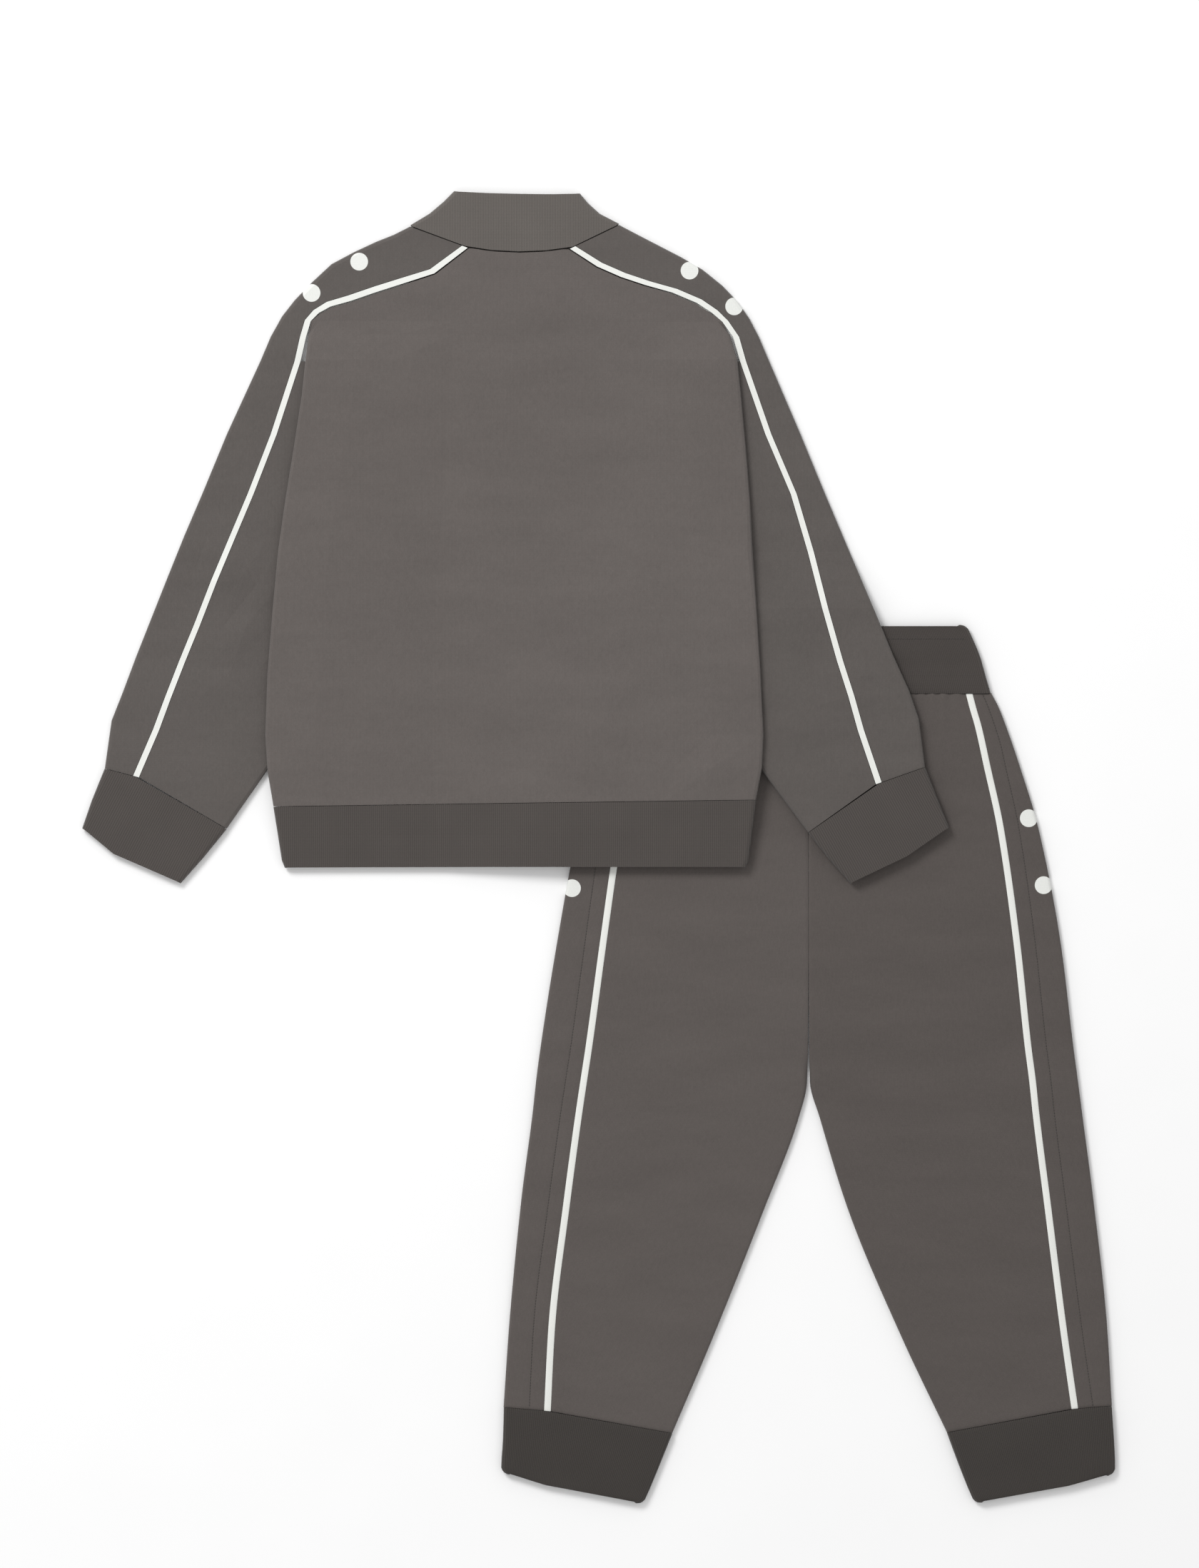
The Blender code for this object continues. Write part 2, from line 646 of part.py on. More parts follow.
def collar():
    """Stand collar of double rib, open at the zip, lying flat with its sides folded."""
    lofted = []
    for x1, y1, x2, y2, back_dip, front_dip, top in COLLAR_ROWS:
        left = Vector((x1, y1))
        right = Vector((x2, y2))
        bottom = COLLAR_RIB / 2
        back = []
        for x, _ in NECK_BACK[1:-1]:
            point = left.lerp(right, (x - NECK_BACK[0][0]) / (NECK_BACK[-1][0] - NECK_BACK[0][0]))
            point.y -= back_dip * neck_dip(NECK_BACK, x)
            back.append(point)
        fronts = []
        for neck, fold in ((NECK_FRONT_LEFT, left), (NECK_FRONT_RIGHT, right)):
            ends = neck if fold is left else neck[::-1]
            half = []
            for x, _ in ends[1:]:
                share = (x - ends[0][0]) / (ends[-1][0] - ends[0][0])
                point = Vector((blend(fold.x, ends[-1][0], share), 0.0))
                level = blend(left.y, right.y, (point.x - left.x) / (right.x - left.x))
                point.y = level - front_dip * neck_dip(neck, x)
                half.append(point)
            fronts.append(half)
        left_turn = half_turn(
            left, towards(left, back[0]), towards(left, fronts[0][0]), top, bottom, COLLAR_RIB
        )
        right_turn = half_turn(
            right, towards(right, back[-1]), towards(right, fronts[1][0]), top, bottom, COLLAR_RIB
        )
        row = [raised(point, bottom) for point in reversed(fronts[0])]
        row += left_turn[::-1]
        row += [raised(point, top) for point in back]
        row += right_turn
        row += [raised(point, bottom) for point in fronts[1]]
        lofted.append(row)
    cloth("jacket_collar", lofted, COLLAR_RIB, "rib")


def zip_strip(name, places, wall, middle_z, finish):
    """Flat strip along the zip: (y, left x, right x) places, carried over the hem and collar."""
    lofted = []
    for y, left, right in places:
        z = middle_z + between(ZIP_RISE_AT_Y, y)
        lofted.append([Vector((ZIP_X + x, y, z)) for x in (left, right)])
    cloth(name, lofted, wall, finish)


def zip_closure():
    slider_bottom = SLIDER_Y - SLIDER_SIZE[1] / 2
    bends = [y for y, _ in ZIP_RISE_AT_Y[1:-1]]
    tape_z = CLOTH + TAPE_LIFT + TAPE / 2
    teeth_half = TEETH_WIDTH / 2
    near = teeth_half + SEAM_GAP
    beside_slider = SLIDER_SIZE[0] / 2 + SEAM_GAP
    far = near + TAPE_WIDTH
    step_start, step_end = (slider_bottom - below for below in TAPE_STEP)
    places = [(y, near, far) for y in [ZIP_BOTTOM_Y] + bends + [step_start]]
    places += [(y, beside_slider, far) for y in (step_end, TAPE_TOP_Y)]
    mirrored = [(y, -outer, -inner) for y, inner, outer in places]
    zip_strip("zip_tape_right", places, TAPE, tape_z, "tape")
    zip_strip("zip_tape_left", mirrored, TAPE, tape_z, "tape")
    teeth_ends = [ZIP_BOTTOM_Y] + bends + [slider_bottom - SEAM_GAP]
    teeth = [(y, -teeth_half, teeth_half) for y in teeth_ends]
    zip_strip("zip_teeth", teeth, TEETH_THICK, TEETH_Z, "coil")


def block(name, size, centre, home):
    """Box of a size about a centre, in a collection."""
    build = bmesh.new()
    bmesh.ops.create_cube(build, size=1.0)
    for vert in build.verts:
        for axis in range(3):
            vert.co[axis] = (vert.co[axis] * size[axis] + centre[axis]) * MM
    mesh = bpy.data.meshes.new(name)
    build.to_mesh(mesh)
    build.free()
    made = bpy.data.objects.new(name, mesh)
    home.objects.link(made)
    return made


def as_cutter(made):
    made.hide_render = True
    made.display_type = "WIRE"
    return made


def join_or_cut(piece, other, operation):
    boolean = piece.modifiers.new(other.name, "BOOLEAN")
    boolean.operation = operation
    boolean.object = other


def round_edges(piece, width):
    bevel = piece.modifiers.new("round", "BEVEL")
    bevel.width = width * MM
    bevel.segments = 2


def zip_slider():
    """Slider body on the coil, with the bridge on its outer face that holds the pull tab."""
    middle = SLIDER_Z + SLIDER_SIZE[2] / 2
    bridge_z = SLIDER_Z - BRIDGE_SIZE[2] / 2 + BRIDGE_ROOT
    centre = (ZIP_X, SLIDER_Y, middle)
    body = block("slider_block", SLIDER_SIZE, centre, CUTTERS)
    piece = add_object("zip_slider", body.data, "metal")
    bpy.data.objects.remove(body)
    round_edges(piece, SLIDER_ROUND)
    bridge = as_cutter(block("bridge", BRIDGE_SIZE, (ZIP_X, SLIDER_Y, bridge_z), CUTTERS))
    opening_size = (BRIDGE_SIZE[0] * 2, BRIDGE_OPENING, 2 * (SLIDER_Z - TAB_AXIS_Z))
    opening = as_cutter(block("bridge_opening", opening_size, (ZIP_X, SLIDER_Y, TAB_AXIS_Z), CUTTERS))
    join_or_cut(bridge, opening, "DIFFERENCE")
    join_or_cut(piece, bridge, "UNION")


def zip_pull_tab():
    """Pull tab with its eye round the bridge; its origin is on the eye's cross bar."""
    width, length, thick = TAB_SIZE
    hole_width, hole_length = TAB_HOLE
    plate = block("tab_plate", TAB_SIZE, (0.0, -length / 2, 0.0), CUTTERS)
    piece = add_object("zip_pull_tab", plate.data, "metal")
    bpy.data.objects.remove(plate)
    piece.location = Vector((ZIP_X, SLIDER_Y, TAB_AXIS_Z)) * MM
    hole_size = (hole_width, hole_length, thick * CUT_THROUGH)
    hole = as_cutter(block("tab_hole", hole_size, (0.0, -hole_length / 2, 0.0), CUTTERS))
    hole.location = piece.location
    build = bmesh.new()
    bmesh.ops.create_cone(
        build,
        cap_ends=True,
        segments=BAR_SIDES,
        radius1=thick / 2 * MM,
        radius2=thick / 2 * MM,
        depth=width * MM,
    )
    for vert in build.verts:
        vert.co = Vector((vert.co.z, vert.co.y, -vert.co.x))
    mesh = bpy.data.meshes.new("tab_bar")
    build.to_mesh(mesh)
    build.free()
    bar = bpy.data.objects.new("tab_bar", mesh)
    CUTTERS.objects.link(bar)
    as_cutter(bar)
    bar.location = piece.location
    join_or_cut(piece, hole, "DIFFERENCE")
    join_or_cut(piece, bar, "UNION")


def sleeve(side, table, shoulder_table):
    rows = limb_rows(table)
    limb_panels("sleeve_{}_" + side, rows, over_trousers, jacket_height, "jersey", SLEEVE_PARTS)
    shoulder = [tuple(Vector(row[at : at + 2]) for at in (0, 2, 4)) for row in shoulder_table]
    strip = [(outer, seam, seam) for outer, seam, _, _ in rows] + shoulder
    side_strip(f"sleeve_overarm_{side}", strip, over_trousers, jacket_height, "jersey")
    piping_strips("sleeve_piping_{}_" + side, strip, over_trousers, jacket_height)
    cuff = cuff_rows(SLEEVE_CUFF_ROWS[side])
    rib_tube(f"sleeve_cuff_{side}", cuff, over_trousers, "rib", CUFF_PARTS)


def leg(side, table):
    rows = limb_rows(table)
    gathered = (GATHER_HEIGHT, 0.5 * GATHER_HEIGHT)
    parts = 2 * GATHERS_PER_BACK
    name = "trouser_{}_" + side
    limb_panels(name, rows, on_floor, trouser_height, "leg_jersey", parts, gathered)
    strip = [(outer, seam, seam) for outer, seam, _, _ in rows]
    side_strip(f"trouser_side_{side}", strip, on_floor, trouser_height, "leg_jersey")
    piping_strips("trouser_piping_{}_" + side, strip, on_floor, trouser_height)
    cuff = cuff_rows(LEG_CUFF_ROWS[side])
    rib_tube(f"trouser_cuff_{side}", cuff, on_floor, "leg_rib", CUFF_PARTS)


def waistband():
    rows = []
    for left, right, y in WAISTBAND_ROWS:
        rows.append((Vector((left, y)), Vector(((left + right) / 2, y)), Vector((right, y))))
    rib_tube("trouser_waistband", rows, on_floor, "leg_rib", WAISTBAND_PARTS)


def build_tracksuit():
    for old in list(bpy.data.objects):
        bpy.data.objects.remove(old)
    for home in (GARMENT, CUTTERS):
        bpy.context.scene.collection.children.link(home)
    leg("left", LEFT_LEG)
    leg("right", RIGHT_LEG)
    waistband()
    sleeve("left", LEFT_SLEEVE, LEFT_SHOULDER)
    sleeve("right", RIGHT_SLEEVE, RIGHT_SHOULDER)
    jacket_back()
    jacket_front("left")
    jacket_front("right")
    hem_band()
    collar()
    zip_closure()
    zip_slider()
    zip_pull_tab()


build_tracksuit()
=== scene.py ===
"""Looks of a child's tracksuit laid flat with its back up: a zipped jacket over cuffed trousers.

Sizes are millimetres until a mesh is made. +X is to the right of someone looking down at the
garment's back, +Y is towards the collar and +Z is up. Each piece of the trousers is a thin shell on
the form that its solid has, read from the same rows of sizes, with its folds and creases laid in.
The jacket isn't built in that way: its pieces are the plain solids, given their finishes.
"""

import collections
import math

import bpy
import numpy as np
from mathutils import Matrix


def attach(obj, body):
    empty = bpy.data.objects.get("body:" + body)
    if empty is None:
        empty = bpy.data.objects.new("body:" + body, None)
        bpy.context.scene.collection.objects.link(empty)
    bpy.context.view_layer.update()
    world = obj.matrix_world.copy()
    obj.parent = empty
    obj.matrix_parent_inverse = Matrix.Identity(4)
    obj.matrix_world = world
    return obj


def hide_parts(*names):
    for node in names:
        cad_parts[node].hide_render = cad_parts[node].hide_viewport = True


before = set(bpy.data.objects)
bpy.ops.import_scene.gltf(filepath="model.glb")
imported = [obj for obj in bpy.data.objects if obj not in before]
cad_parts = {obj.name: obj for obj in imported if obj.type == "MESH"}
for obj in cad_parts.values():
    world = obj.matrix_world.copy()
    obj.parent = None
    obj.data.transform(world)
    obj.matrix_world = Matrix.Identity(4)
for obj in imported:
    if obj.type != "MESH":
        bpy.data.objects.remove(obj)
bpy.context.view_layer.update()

# Camera, floor and light
# The set lies on a pale floor. The camera looks straight down at it, from far enough away that
# the raised jacket stays in place, and one large soft lamp shines from the upper left.
MM = 0.001
VIEW_CENTRE = (0.5, 43.0)
VIEW_HEIGHT = 1054.6
CAMERA_HEIGHT = 6000.0
SENSOR = 36.0
FLOOR_SIZE = 9.0
LAMP_PLACE = (-1.5, 1.9, 2.3)
LAMP_SIZE = 1.3
LAMP_POWER = 62.0
SKY = 0.72
LIGHT = 1.12

camera_data = bpy.data.cameras.new("camera")
camera_data.sensor_fit = "VERTICAL"
camera_data.sensor_width = SENSOR
camera_data.sensor_height = SENSOR
camera_data.lens = SENSOR * CAMERA_HEIGHT / VIEW_HEIGHT
camera_data.clip_end = 100.0
camera = bpy.data.objects.new("camera", camera_data)
camera.location = (VIEW_CENTRE[0] * MM, VIEW_CENTRE[1] * MM, CAMERA_HEIGHT * MM)
bpy.context.scene.collection.objects.link(camera)
bpy.context.scene.camera = camera

lamp_data = bpy.data.lights.new("lamp", "AREA")
lamp_data.shape = "DISK"
lamp_data.size = LAMP_SIZE
lamp_data.energy = LAMP_POWER
lamp = bpy.data.objects.new("lamp", lamp_data)
lamp.location = LAMP_PLACE
lamp.rotation_mode = "QUATERNION"
lamp.rotation_quaternion = lamp.location.to_track_quat("Z", "Y")
bpy.context.scene.collection.objects.link(lamp)

world = bpy.data.worlds.new("studio")
world.use_nodes = True
world.node_tree.nodes["Background"].inputs["Color"].default_value = (1.0, 1.0, 1.0, 1.0)
world.node_tree.nodes["Background"].inputs["Strength"].default_value = SKY
bpy.context.scene.world = world
bpy.context.scene.view_settings.view_transform = "Standard"


class Value:
    """One value of a shader. Its operators add the Math nodes that work out a new value."""

    def __init__(self, tree, socket=None):
        self.tree = tree
        self.socket = socket

    def node(self, kind, settings=None, inputs=None, output=0):
        """Add a node, set it up, fill its sockets, and give one of its outputs."""
        made = self.tree.nodes.new("ShaderNode" + kind)
        for name, value in (settings or {}).items():
            setattr(made, name, value)
        for name, value in (inputs or {}).items():
            if isinstance(value, Value):
                self.tree.links.new(value.socket, made.inputs[name])
            else:
                made.inputs[name].default_value = value
        return Value(self.tree, made.outputs[output])

    def math(self, operation, first, second=0.0):
        settings = {"operation": operation}
        return self.node("Math", settings, {0: first, 1: second})

    def __add__(self, other):
        return self.math("ADD", self, other)

    __radd__ = __add__

    def __sub__(self, other):
        return self.math("SUBTRACT", self, other)

    def __rsub__(self, other):
        return self.math("SUBTRACT", other, self)

    def __mul__(self, other):
        return self.math("MULTIPLY", self, other)

    __rmul__ = __mul__

    def sine(self):
        return self.math("SINE", self)

    def size(self):
        return self.math("ABSOLUTE", self)

    def share(self):
        """The value kept between 0 and 1."""
        return self.node("Clamp", None, {"Value": self})

    def larger(self, other):
        return self.math("MAXIMUM", self, other)


def new_material(name):
    """A material's tree, and its shader as Blender first makes it."""
    material = bpy.data.materials.new(name)
    material.use_nodes = True
    shader = material.node_tree.nodes["Principled BSDF"]
    return material, Value(material.node_tree), shader


def feed(maker, value, shader, name):
    maker.tree.links.new(value.socket, shader.inputs[name])


def speckle(maker, where, size, detail=2.0, stretch=(1.0, 1.0, 1.0)):
    """Noise from -0.5 to 0.5, of a grain size in millimetres."""
    scaled = maker.node("Mapping", None, {"Vector": where, "Scale": stretch})
    inputs = {"Vector": scaled, "Scale": 1.0 / (size * MM), "Detail": detail}
    return maker.node("TexNoise", None, inputs) - 0.5


def mixed(maker, factor, first, second):
    """A colour between two others; each is a value or four numbers."""
    inputs = {0: factor, 6: first, 7: second}
    return maker.node("Mix", {"data_type": "RGBA"}, inputs, output=2)


def seen(red, green, blue):
    """Colour of a surface that looks like this screen colour in the scene's light."""
    return tuple(((part / 255 + 0.055) / 1.055) ** 2.4 / LIGHT for part in (red, green, blue))


floor_material, floor_maker, floor_shader = new_material("pale_floor")
floor_shader.inputs["Roughness"].default_value = 0.9
floor_shader.inputs["Specular IOR Level"].default_value = 0.1
floor_grain = speckle(floor_maker, floor_maker.node("TexCoord", output=3), 60.0)
feed(
    floor_maker,
    mixed(floor_maker, floor_grain + 0.5, (0.93, 0.93, 0.93, 1.0), (0.95, 0.95, 0.95, 1.0)),
    floor_shader,
    "Base Color",
)
bpy.ops.mesh.primitive_plane_add(size=FLOOR_SIZE, location=(0.0, 0.0, -0.0002))
floor = bpy.context.object
floor.name = "floor"
floor.data.materials.append(floor_material)

# Trouser legs
# Each leg is a back and a front of brushed jersey and a side panel that folds round the outside.
# The backs are gathered into the waistband, and meet in the centre back seam down to the crotch.
CLOTH = 1.6
LAYER_GAP = 1.0
CLOTH_UPPER = CLOTH + LAYER_GAP + CLOTH / 2
SEAM_GAP = 0.3
ROLL_GAP = 0.85
PIPING_WIDTH = 4.0
PIPING_WALL = 1.6
PIPING_PROUD = 0.2
PIPING_CROWN = 0.35
CROWN_SHARES = (-1.0, -0.82, -0.45, 0.0, 0.45, 0.82, 1.0)
FOLD_STEPS = 8
JERSEY_STEP = 3.2
EDGE_STEPS = (0.0, 0.5, 1.0, 1.7, 2.8)
SEAM_DIP = 0.35
SEAM_DIP_WIDTH = 1.1
# The topstitching runs 10 mm outside the piping
PANEL_STEPS = EDGE_STEPS + (8.2, 9.2, 10.0, 10.8, 11.8)
STITCH_COLUMN = 7
STITCH_GROOVE = 0.3
GROOVE_WIDTH = 1.0
FOLD_FADE = 14.0
LOWEST_RELIEF = -0.65
LOWER_SHARE = 0.45
LOWER_FADE = 12.0

LEFT_LEG = (
    # outer x, y    piping x, y    inner x, y    roll of the inner edge
    (18.0, 103.7, 33.0, 103.7, 141.0, 103.7, 0.0),
    (13.0, 94.0, 30.5, 94.0, 141.0, 94.0, 0.0),
    (8.5, 82.0, 27.5, 82.0, 141.0, 82.0, 0.0),
    (-1.0, 55.0, 21.0, 55.0, 141.0, 55.0, 0.0),
    (-13.5, 13.5, 14.0, 13.5, 141.0, 13.5, 0.0),
    (-28.0, -63.5, 3.0, -63.5, 141.0, -63.5, 0.0),
    (-39.0, -133.0, -6.5, -133.0, 140.6, -133.0, 0.0),
    (-42.0, -155.5, -10.0, -156.0, 140.2, -157.0, 0.5),
    (-44.5, -178.5, -13.5, -179.5, 134.5, -181.5, 1.0),
    (-52.0, -236.0, -21.5, -238.5, 111.0, -243.5, 1.0),
    (-60.0, -318.0, -31.5, -321.0, 76.5, -330.0, 1.0),
    (-64.0, -376.0, -34.5, -378.5, 49.5, -393.5, 1.0),
)
RIGHT_LEG = (
    # outer x, y    piping x, y    inner x, y    roll of the inner edge
    (264.0, 103.7, 249.0, 103.7, 141.0, 103.7, 0.0),
    (269.0, 94.0, 251.5, 94.0, 141.0, 94.0, 0.0),
    (273.7, 82.0, 255.0, 82.0, 141.0, 82.0, 0.0),
    (283.0, 55.0, 261.0, 55.0, 141.0, 55.0, 0.0),
    (295.5, 13.5, 270.0, 13.5, 141.0, 13.5, 0.0),
    (310.5, -63.5, 281.0, -63.5, 141.0, -63.5, 0.0),
    (319.0, -133.0, 288.5, -133.0, 141.4, -133.0, 0.0),
    (322.0, -155.5, 291.5, -156.0, 141.8, -157.0, 0.5),
    (325.0, -178.5, 294.0, -179.5, 148.5, -181.5, 1.0),
    (332.5, -236.0, 301.5, -238.5, 168.0, -244.5, 1.0),
    (341.5, -318.0, 312.0, -321.0, 204.0, -330.0, 1.0),
    (345.0, -375.0, 320.0, -377.0, 234.0, -393.0, 1.0),
)
LEG_CREASES = (
    # half width, height, then the points x, y along it
    (5.0, -0.5, (278.4, -110.9), (278.4, -137.3)),
    (7.0, -0.4, (283.7, -244.0), (283.7, -263.0)),
    (7.0, -0.5, (-9.1, -26.4), (-9.1, -89.8)),
    (2.0, -0.4, (311.5, -371.0), (313.5, -379.0)),
    (2.0, -0.6, (-30.2, -369.6), (-23.5, -381.1)),
    (1.6, -0.5, (220.3, 93.1), (221.0, 76.0), (222.0, 60.0)),
    (1.4, -0.5, (246.2, 97.4), (248.2, 90.2)),
    (2.2, -0.7, (246.2, 84.0), (251.5, 74.0), (257.3, 63.8)),
)
# Gathers that show beside the jacket, from the seam down; like ones go on under the jacket
SHOWN_GATHERS = (
    # x    length    height    half width
    (209.6, 21.0, 0.8, 3.6),
    (216.7, 15.0, 0.9, 3.4),
    (223.9, 34.0, 1.1, 3.5),
    (231.4, 37.0, 1.3, 3.6),
    (240.6, 14.0, 1.0, 4.8),
)
GATHER_STARTS = (40.4, 150.4)
GATHER_PITCH = 10.14
GATHERS_PER_BACK = 10
HIDDEN_GATHER = (24.0, 0.9, 4.4)
GATHER_VARIES = (9.0, 0.2)
# Plain round spots printed white on the side panels, seen on both layers
LEG_SPOTS = {
    "left": ((-8.0, 18.0), (-18.0, -27.0)),
    "right": ((289.0, 20.0), (299.0, -25.0)),
}
SPOT_RADIUS = 6.0


def smooth_step(value, start, end):
    """From 0 at start to 1 at end, in either direction, with soft ends."""
    share = np.clip((value - start) / (end - start), 0.0, 1.0)
    return share * share * (3.0 - 2.0 * share)


def unit(vector):
    return vector / math.hypot(*vector)


def smooth_curve(places, values, at):
    """Smooth curves through rows of values at rising places, which never overshoot them."""
    places = np.asarray(places, float)
    values = np.asarray(values, float)
    step = np.diff(places)[:, None]
    slope = np.diff(values, axis=0) / step
    tangent = np.zeros_like(values)
    tangent[0] = slope[0]
    tangent[-1] = slope[-1]
    before, after = slope[:-1], slope[1:]
    agree = before * after > 0.0
    weight = before + after
    safe = np.where(agree, weight, 1.0)
    tangent[1:-1] = np.where(agree, 2.0 * before * after / safe, 0.0)
    near = np.clip(np.searchsorted(places, at, side="right") - 1, 0, len(places) - 2)
    width = (places[near + 1] - places[near])[:, None]
    t = (np.asarray(at)[:, None] - places[near][:, None]) / width
    start = values[near] * (1 + 2 * t) * (1 - t) ** 2 + tangent[near] * width * t * (1 - t) ** 2
    end = values[near + 1] * t * t * (3 - 2 * t) + tangent[near + 1] * width * t * t * (t - 1)
    return start + end


def spaced(width, count, first=EDGE_STEPS, last=EDGE_STEPS):
    """Distances across a width: set steps from both ends, and even ones between them."""
    shrink = min(1.0, 0.8 * width / (first[-1] + last[-1] + 1.0))
    head = np.array(first) * shrink
    tail = width - np.array(last)[::-1] * shrink
    return np.concatenate((head, np.linspace(head[-1], tail[0], count + 2)[1:-1], tail))


def smooth_rows(table, step, ends=EDGE_STEPS, split=None):
    """Rows of a table at small steps, their distances from the first, and the count to a split."""
    table = np.array(table, float)
    runs = np.hypot(*np.diff(table[:, 0:2], axis=0).T)
    places = np.concatenate(([0.0], np.cumsum(runs)))
    turn = places[-1] if split is None else places[split]
    at = spaced(turn, int(turn / step), ends, ends)
    count = len(at)
    if split is not None:
        rest = places[-1] - turn
        at = np.concatenate((at, turn + spaced(rest, int(rest / step), ends, ends)[1:]))
    return smooth_curve(places, table, at), at, count


def seam_dip(distance):
    """How far cloth sinks into a seam, at a distance from it."""
    return -SEAM_DIP * np.exp(-((distance / SEAM_DIP_WIDTH) ** 2))


def raised(points, height):
    points = np.atleast_2d(points)
    return np.column_stack((points, np.broadcast_to(height, len(points))))


def creases(points, table):
    """Height of soft ridges and troughs at points, each along a bent line with tapered ends."""
    height = np.zeros(len(points))
    for half_width, crest, *corners in table:
        last = len(corners) - 1
        line = smooth_curve(np.arange(last + 1), corners, np.linspace(0, last, 6 * last + 1))
        best = np.full(len(points), np.inf)
        along = np.zeros(len(points))
        for number, (start, end) in enumerate(zip(line, line[1:])):
            run = end - start
            share = np.clip((points - start) @ run / (run @ run), 0.0, 1.0)
            distance = np.hypot(*(points - start - share[:, None] * run).T)
            closer = distance < best
            best = np.where(closer, distance, best)
            along = np.where(closer, (number + share) / (len(line) - 1), along)
        taper = np.sin(math.pi * along) ** 0.6
        profile = np.where(best < half_width, np.cos(best / half_width * math.pi / 2) ** 2, 0.0)
        height += crest * taper * profile
    return height


def kept_clear(relief):
    """Relief that softly stops before it sinks into the layer below."""
    return LOWEST_RELIEF + np.logaddexp(0.0, 6.0 * (relief - LOWEST_RELIEF)) / 6.0


def lower_relief(relief, steps, width):
    """Height of the layer underneath, which follows the ridges above it and lies flat at seams."""
    low = LOWER_SHARE * np.maximum(relief, 0.0)
    return low * smooth_step(steps, 0.0, LOWER_FADE) * smooth_step(width - steps, 0.0, LOWER_FADE)


def ripple(points, size, turn):
    """Uneven low swells from -1 to 1, of about a size, that differ with the turn."""
    x, y = points.T / size
    swell = np.sin(2.1 * x + 1.3 * y + turn) + np.sin(1.7 * y - 1.1 * x + 2.3 * turn)
    return (swell + np.sin(3.1 * x + 0.7 * y + 1.7 * turn) * 0.6) / 2.6


def half_turn(edge, inward_top, inward_bottom, top, bottom, wall):
    """Points round a folded edge, from the layer on top to the layer underneath."""
    radius = (top - bottom) / 2
    share = np.linspace(0.0, 1.0, FOLD_STEPS + 1)[:, None]
    inward = inward_top + (inward_bottom - inward_top) * share
    inward /= np.hypot(*inward.T)[:, None]
    place = edge + inward * (radius + wall / 2 - radius * np.sin(math.pi * share))
    return np.column_stack((place, bottom + radius * (1 + np.cos(math.pi * share))))


def rolled_edge(edge, inward, top, bottom, wall, roll):
    """Points of an edge strip that lies flat at roll 0 and turns right under at roll 1."""
    radius = (top - bottom) / 2
    length = math.pi * radius * np.linspace(0.0, 1.0, FOLD_STEPS + 1)[:, None]
    if roll < 0.01:
        return raised(edge + inward * (math.pi * radius - length), top)
    bend = radius / roll
    reach = (bend + wall / 2) * math.sin(min(math.pi / 2, math.pi * roll))
    place = edge + inward * (reach - bend * np.sin(length / bend))
    return np.column_stack((place, top - bend * (1 - np.cos(length / bend))))


def grain_lengths(grid):
    """Distances across each row from its middle, and along the middle column."""
    across = np.hypot.reduce(np.diff(grid, axis=1), axis=2)
    across = np.concatenate((np.zeros((len(grid), 1)), np.cumsum(across, axis=1)), axis=1)
    middle = grid.shape[1] // 2
    along = np.hypot.reduce(np.diff(grid[:, middle], axis=0), axis=1)
    along = np.concatenate(([0.0], np.cumsum(along)))
    return across - across[:, middle : middle + 1], along


def shell(name, grid, wall, material, closed=False):
    """A thin wall of cloth on a grid of points on its middle, with its grain in metres."""
    rows, columns = grid.shape[:2]
    across, along = grain_lengths(grid)
    index = np.arange(rows * columns).reshape(rows, columns)
    u_place, v_place = across, np.repeat(along[:, None], columns, axis=1)
    if closed:
        index = np.column_stack((index, index[:, :1]))
        gap = np.hypot.reduce(grid[:, 0] - grid[:, -1], axis=1)
        u_place = np.column_stack((across, across[:, -1] + gap))
        v_place = np.repeat(along[:, None], columns + 1, axis=1)
    corners = [np.s_[:-1, :-1], np.s_[:-1, 1:], np.s_[1:, 1:], np.s_[1:, :-1]]
    faces = np.stack([index[corner].ravel() for corner in corners], axis=1)
    u_corner = np.stack([u_place[corner].ravel() for corner in corners], axis=1)
    v_corner = np.stack([v_place[corner].ravel() for corner in corners], axis=1)
    mesh = bpy.data.meshes.new(name)
    mesh.from_pydata((grid.reshape(-1, 3) * MM).tolist(), [], faces.tolist())
    mesh.shade_smooth()
    grain = mesh.uv_layers.new(name="grain")
    grain.data.foreach_set("uv", np.stack((u_corner, v_corner), axis=2).ravel() * MM)
    mesh.materials.append(material)
    piece = bpy.data.objects.new(name, mesh)
    bpy.context.scene.collection.objects.link(piece)
    thicken = piece.modifiers.new("wall", "SOLIDIFY")
    thicken.thickness = wall * MM
    thicken.offset = 0.0
    thicken.use_even_offset = True
    return piece


def lay(piece, node):
    """Say that a piece stands for its solid: hang it on the garment and hide the solid."""
    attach(piece, "garment")
    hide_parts(node)


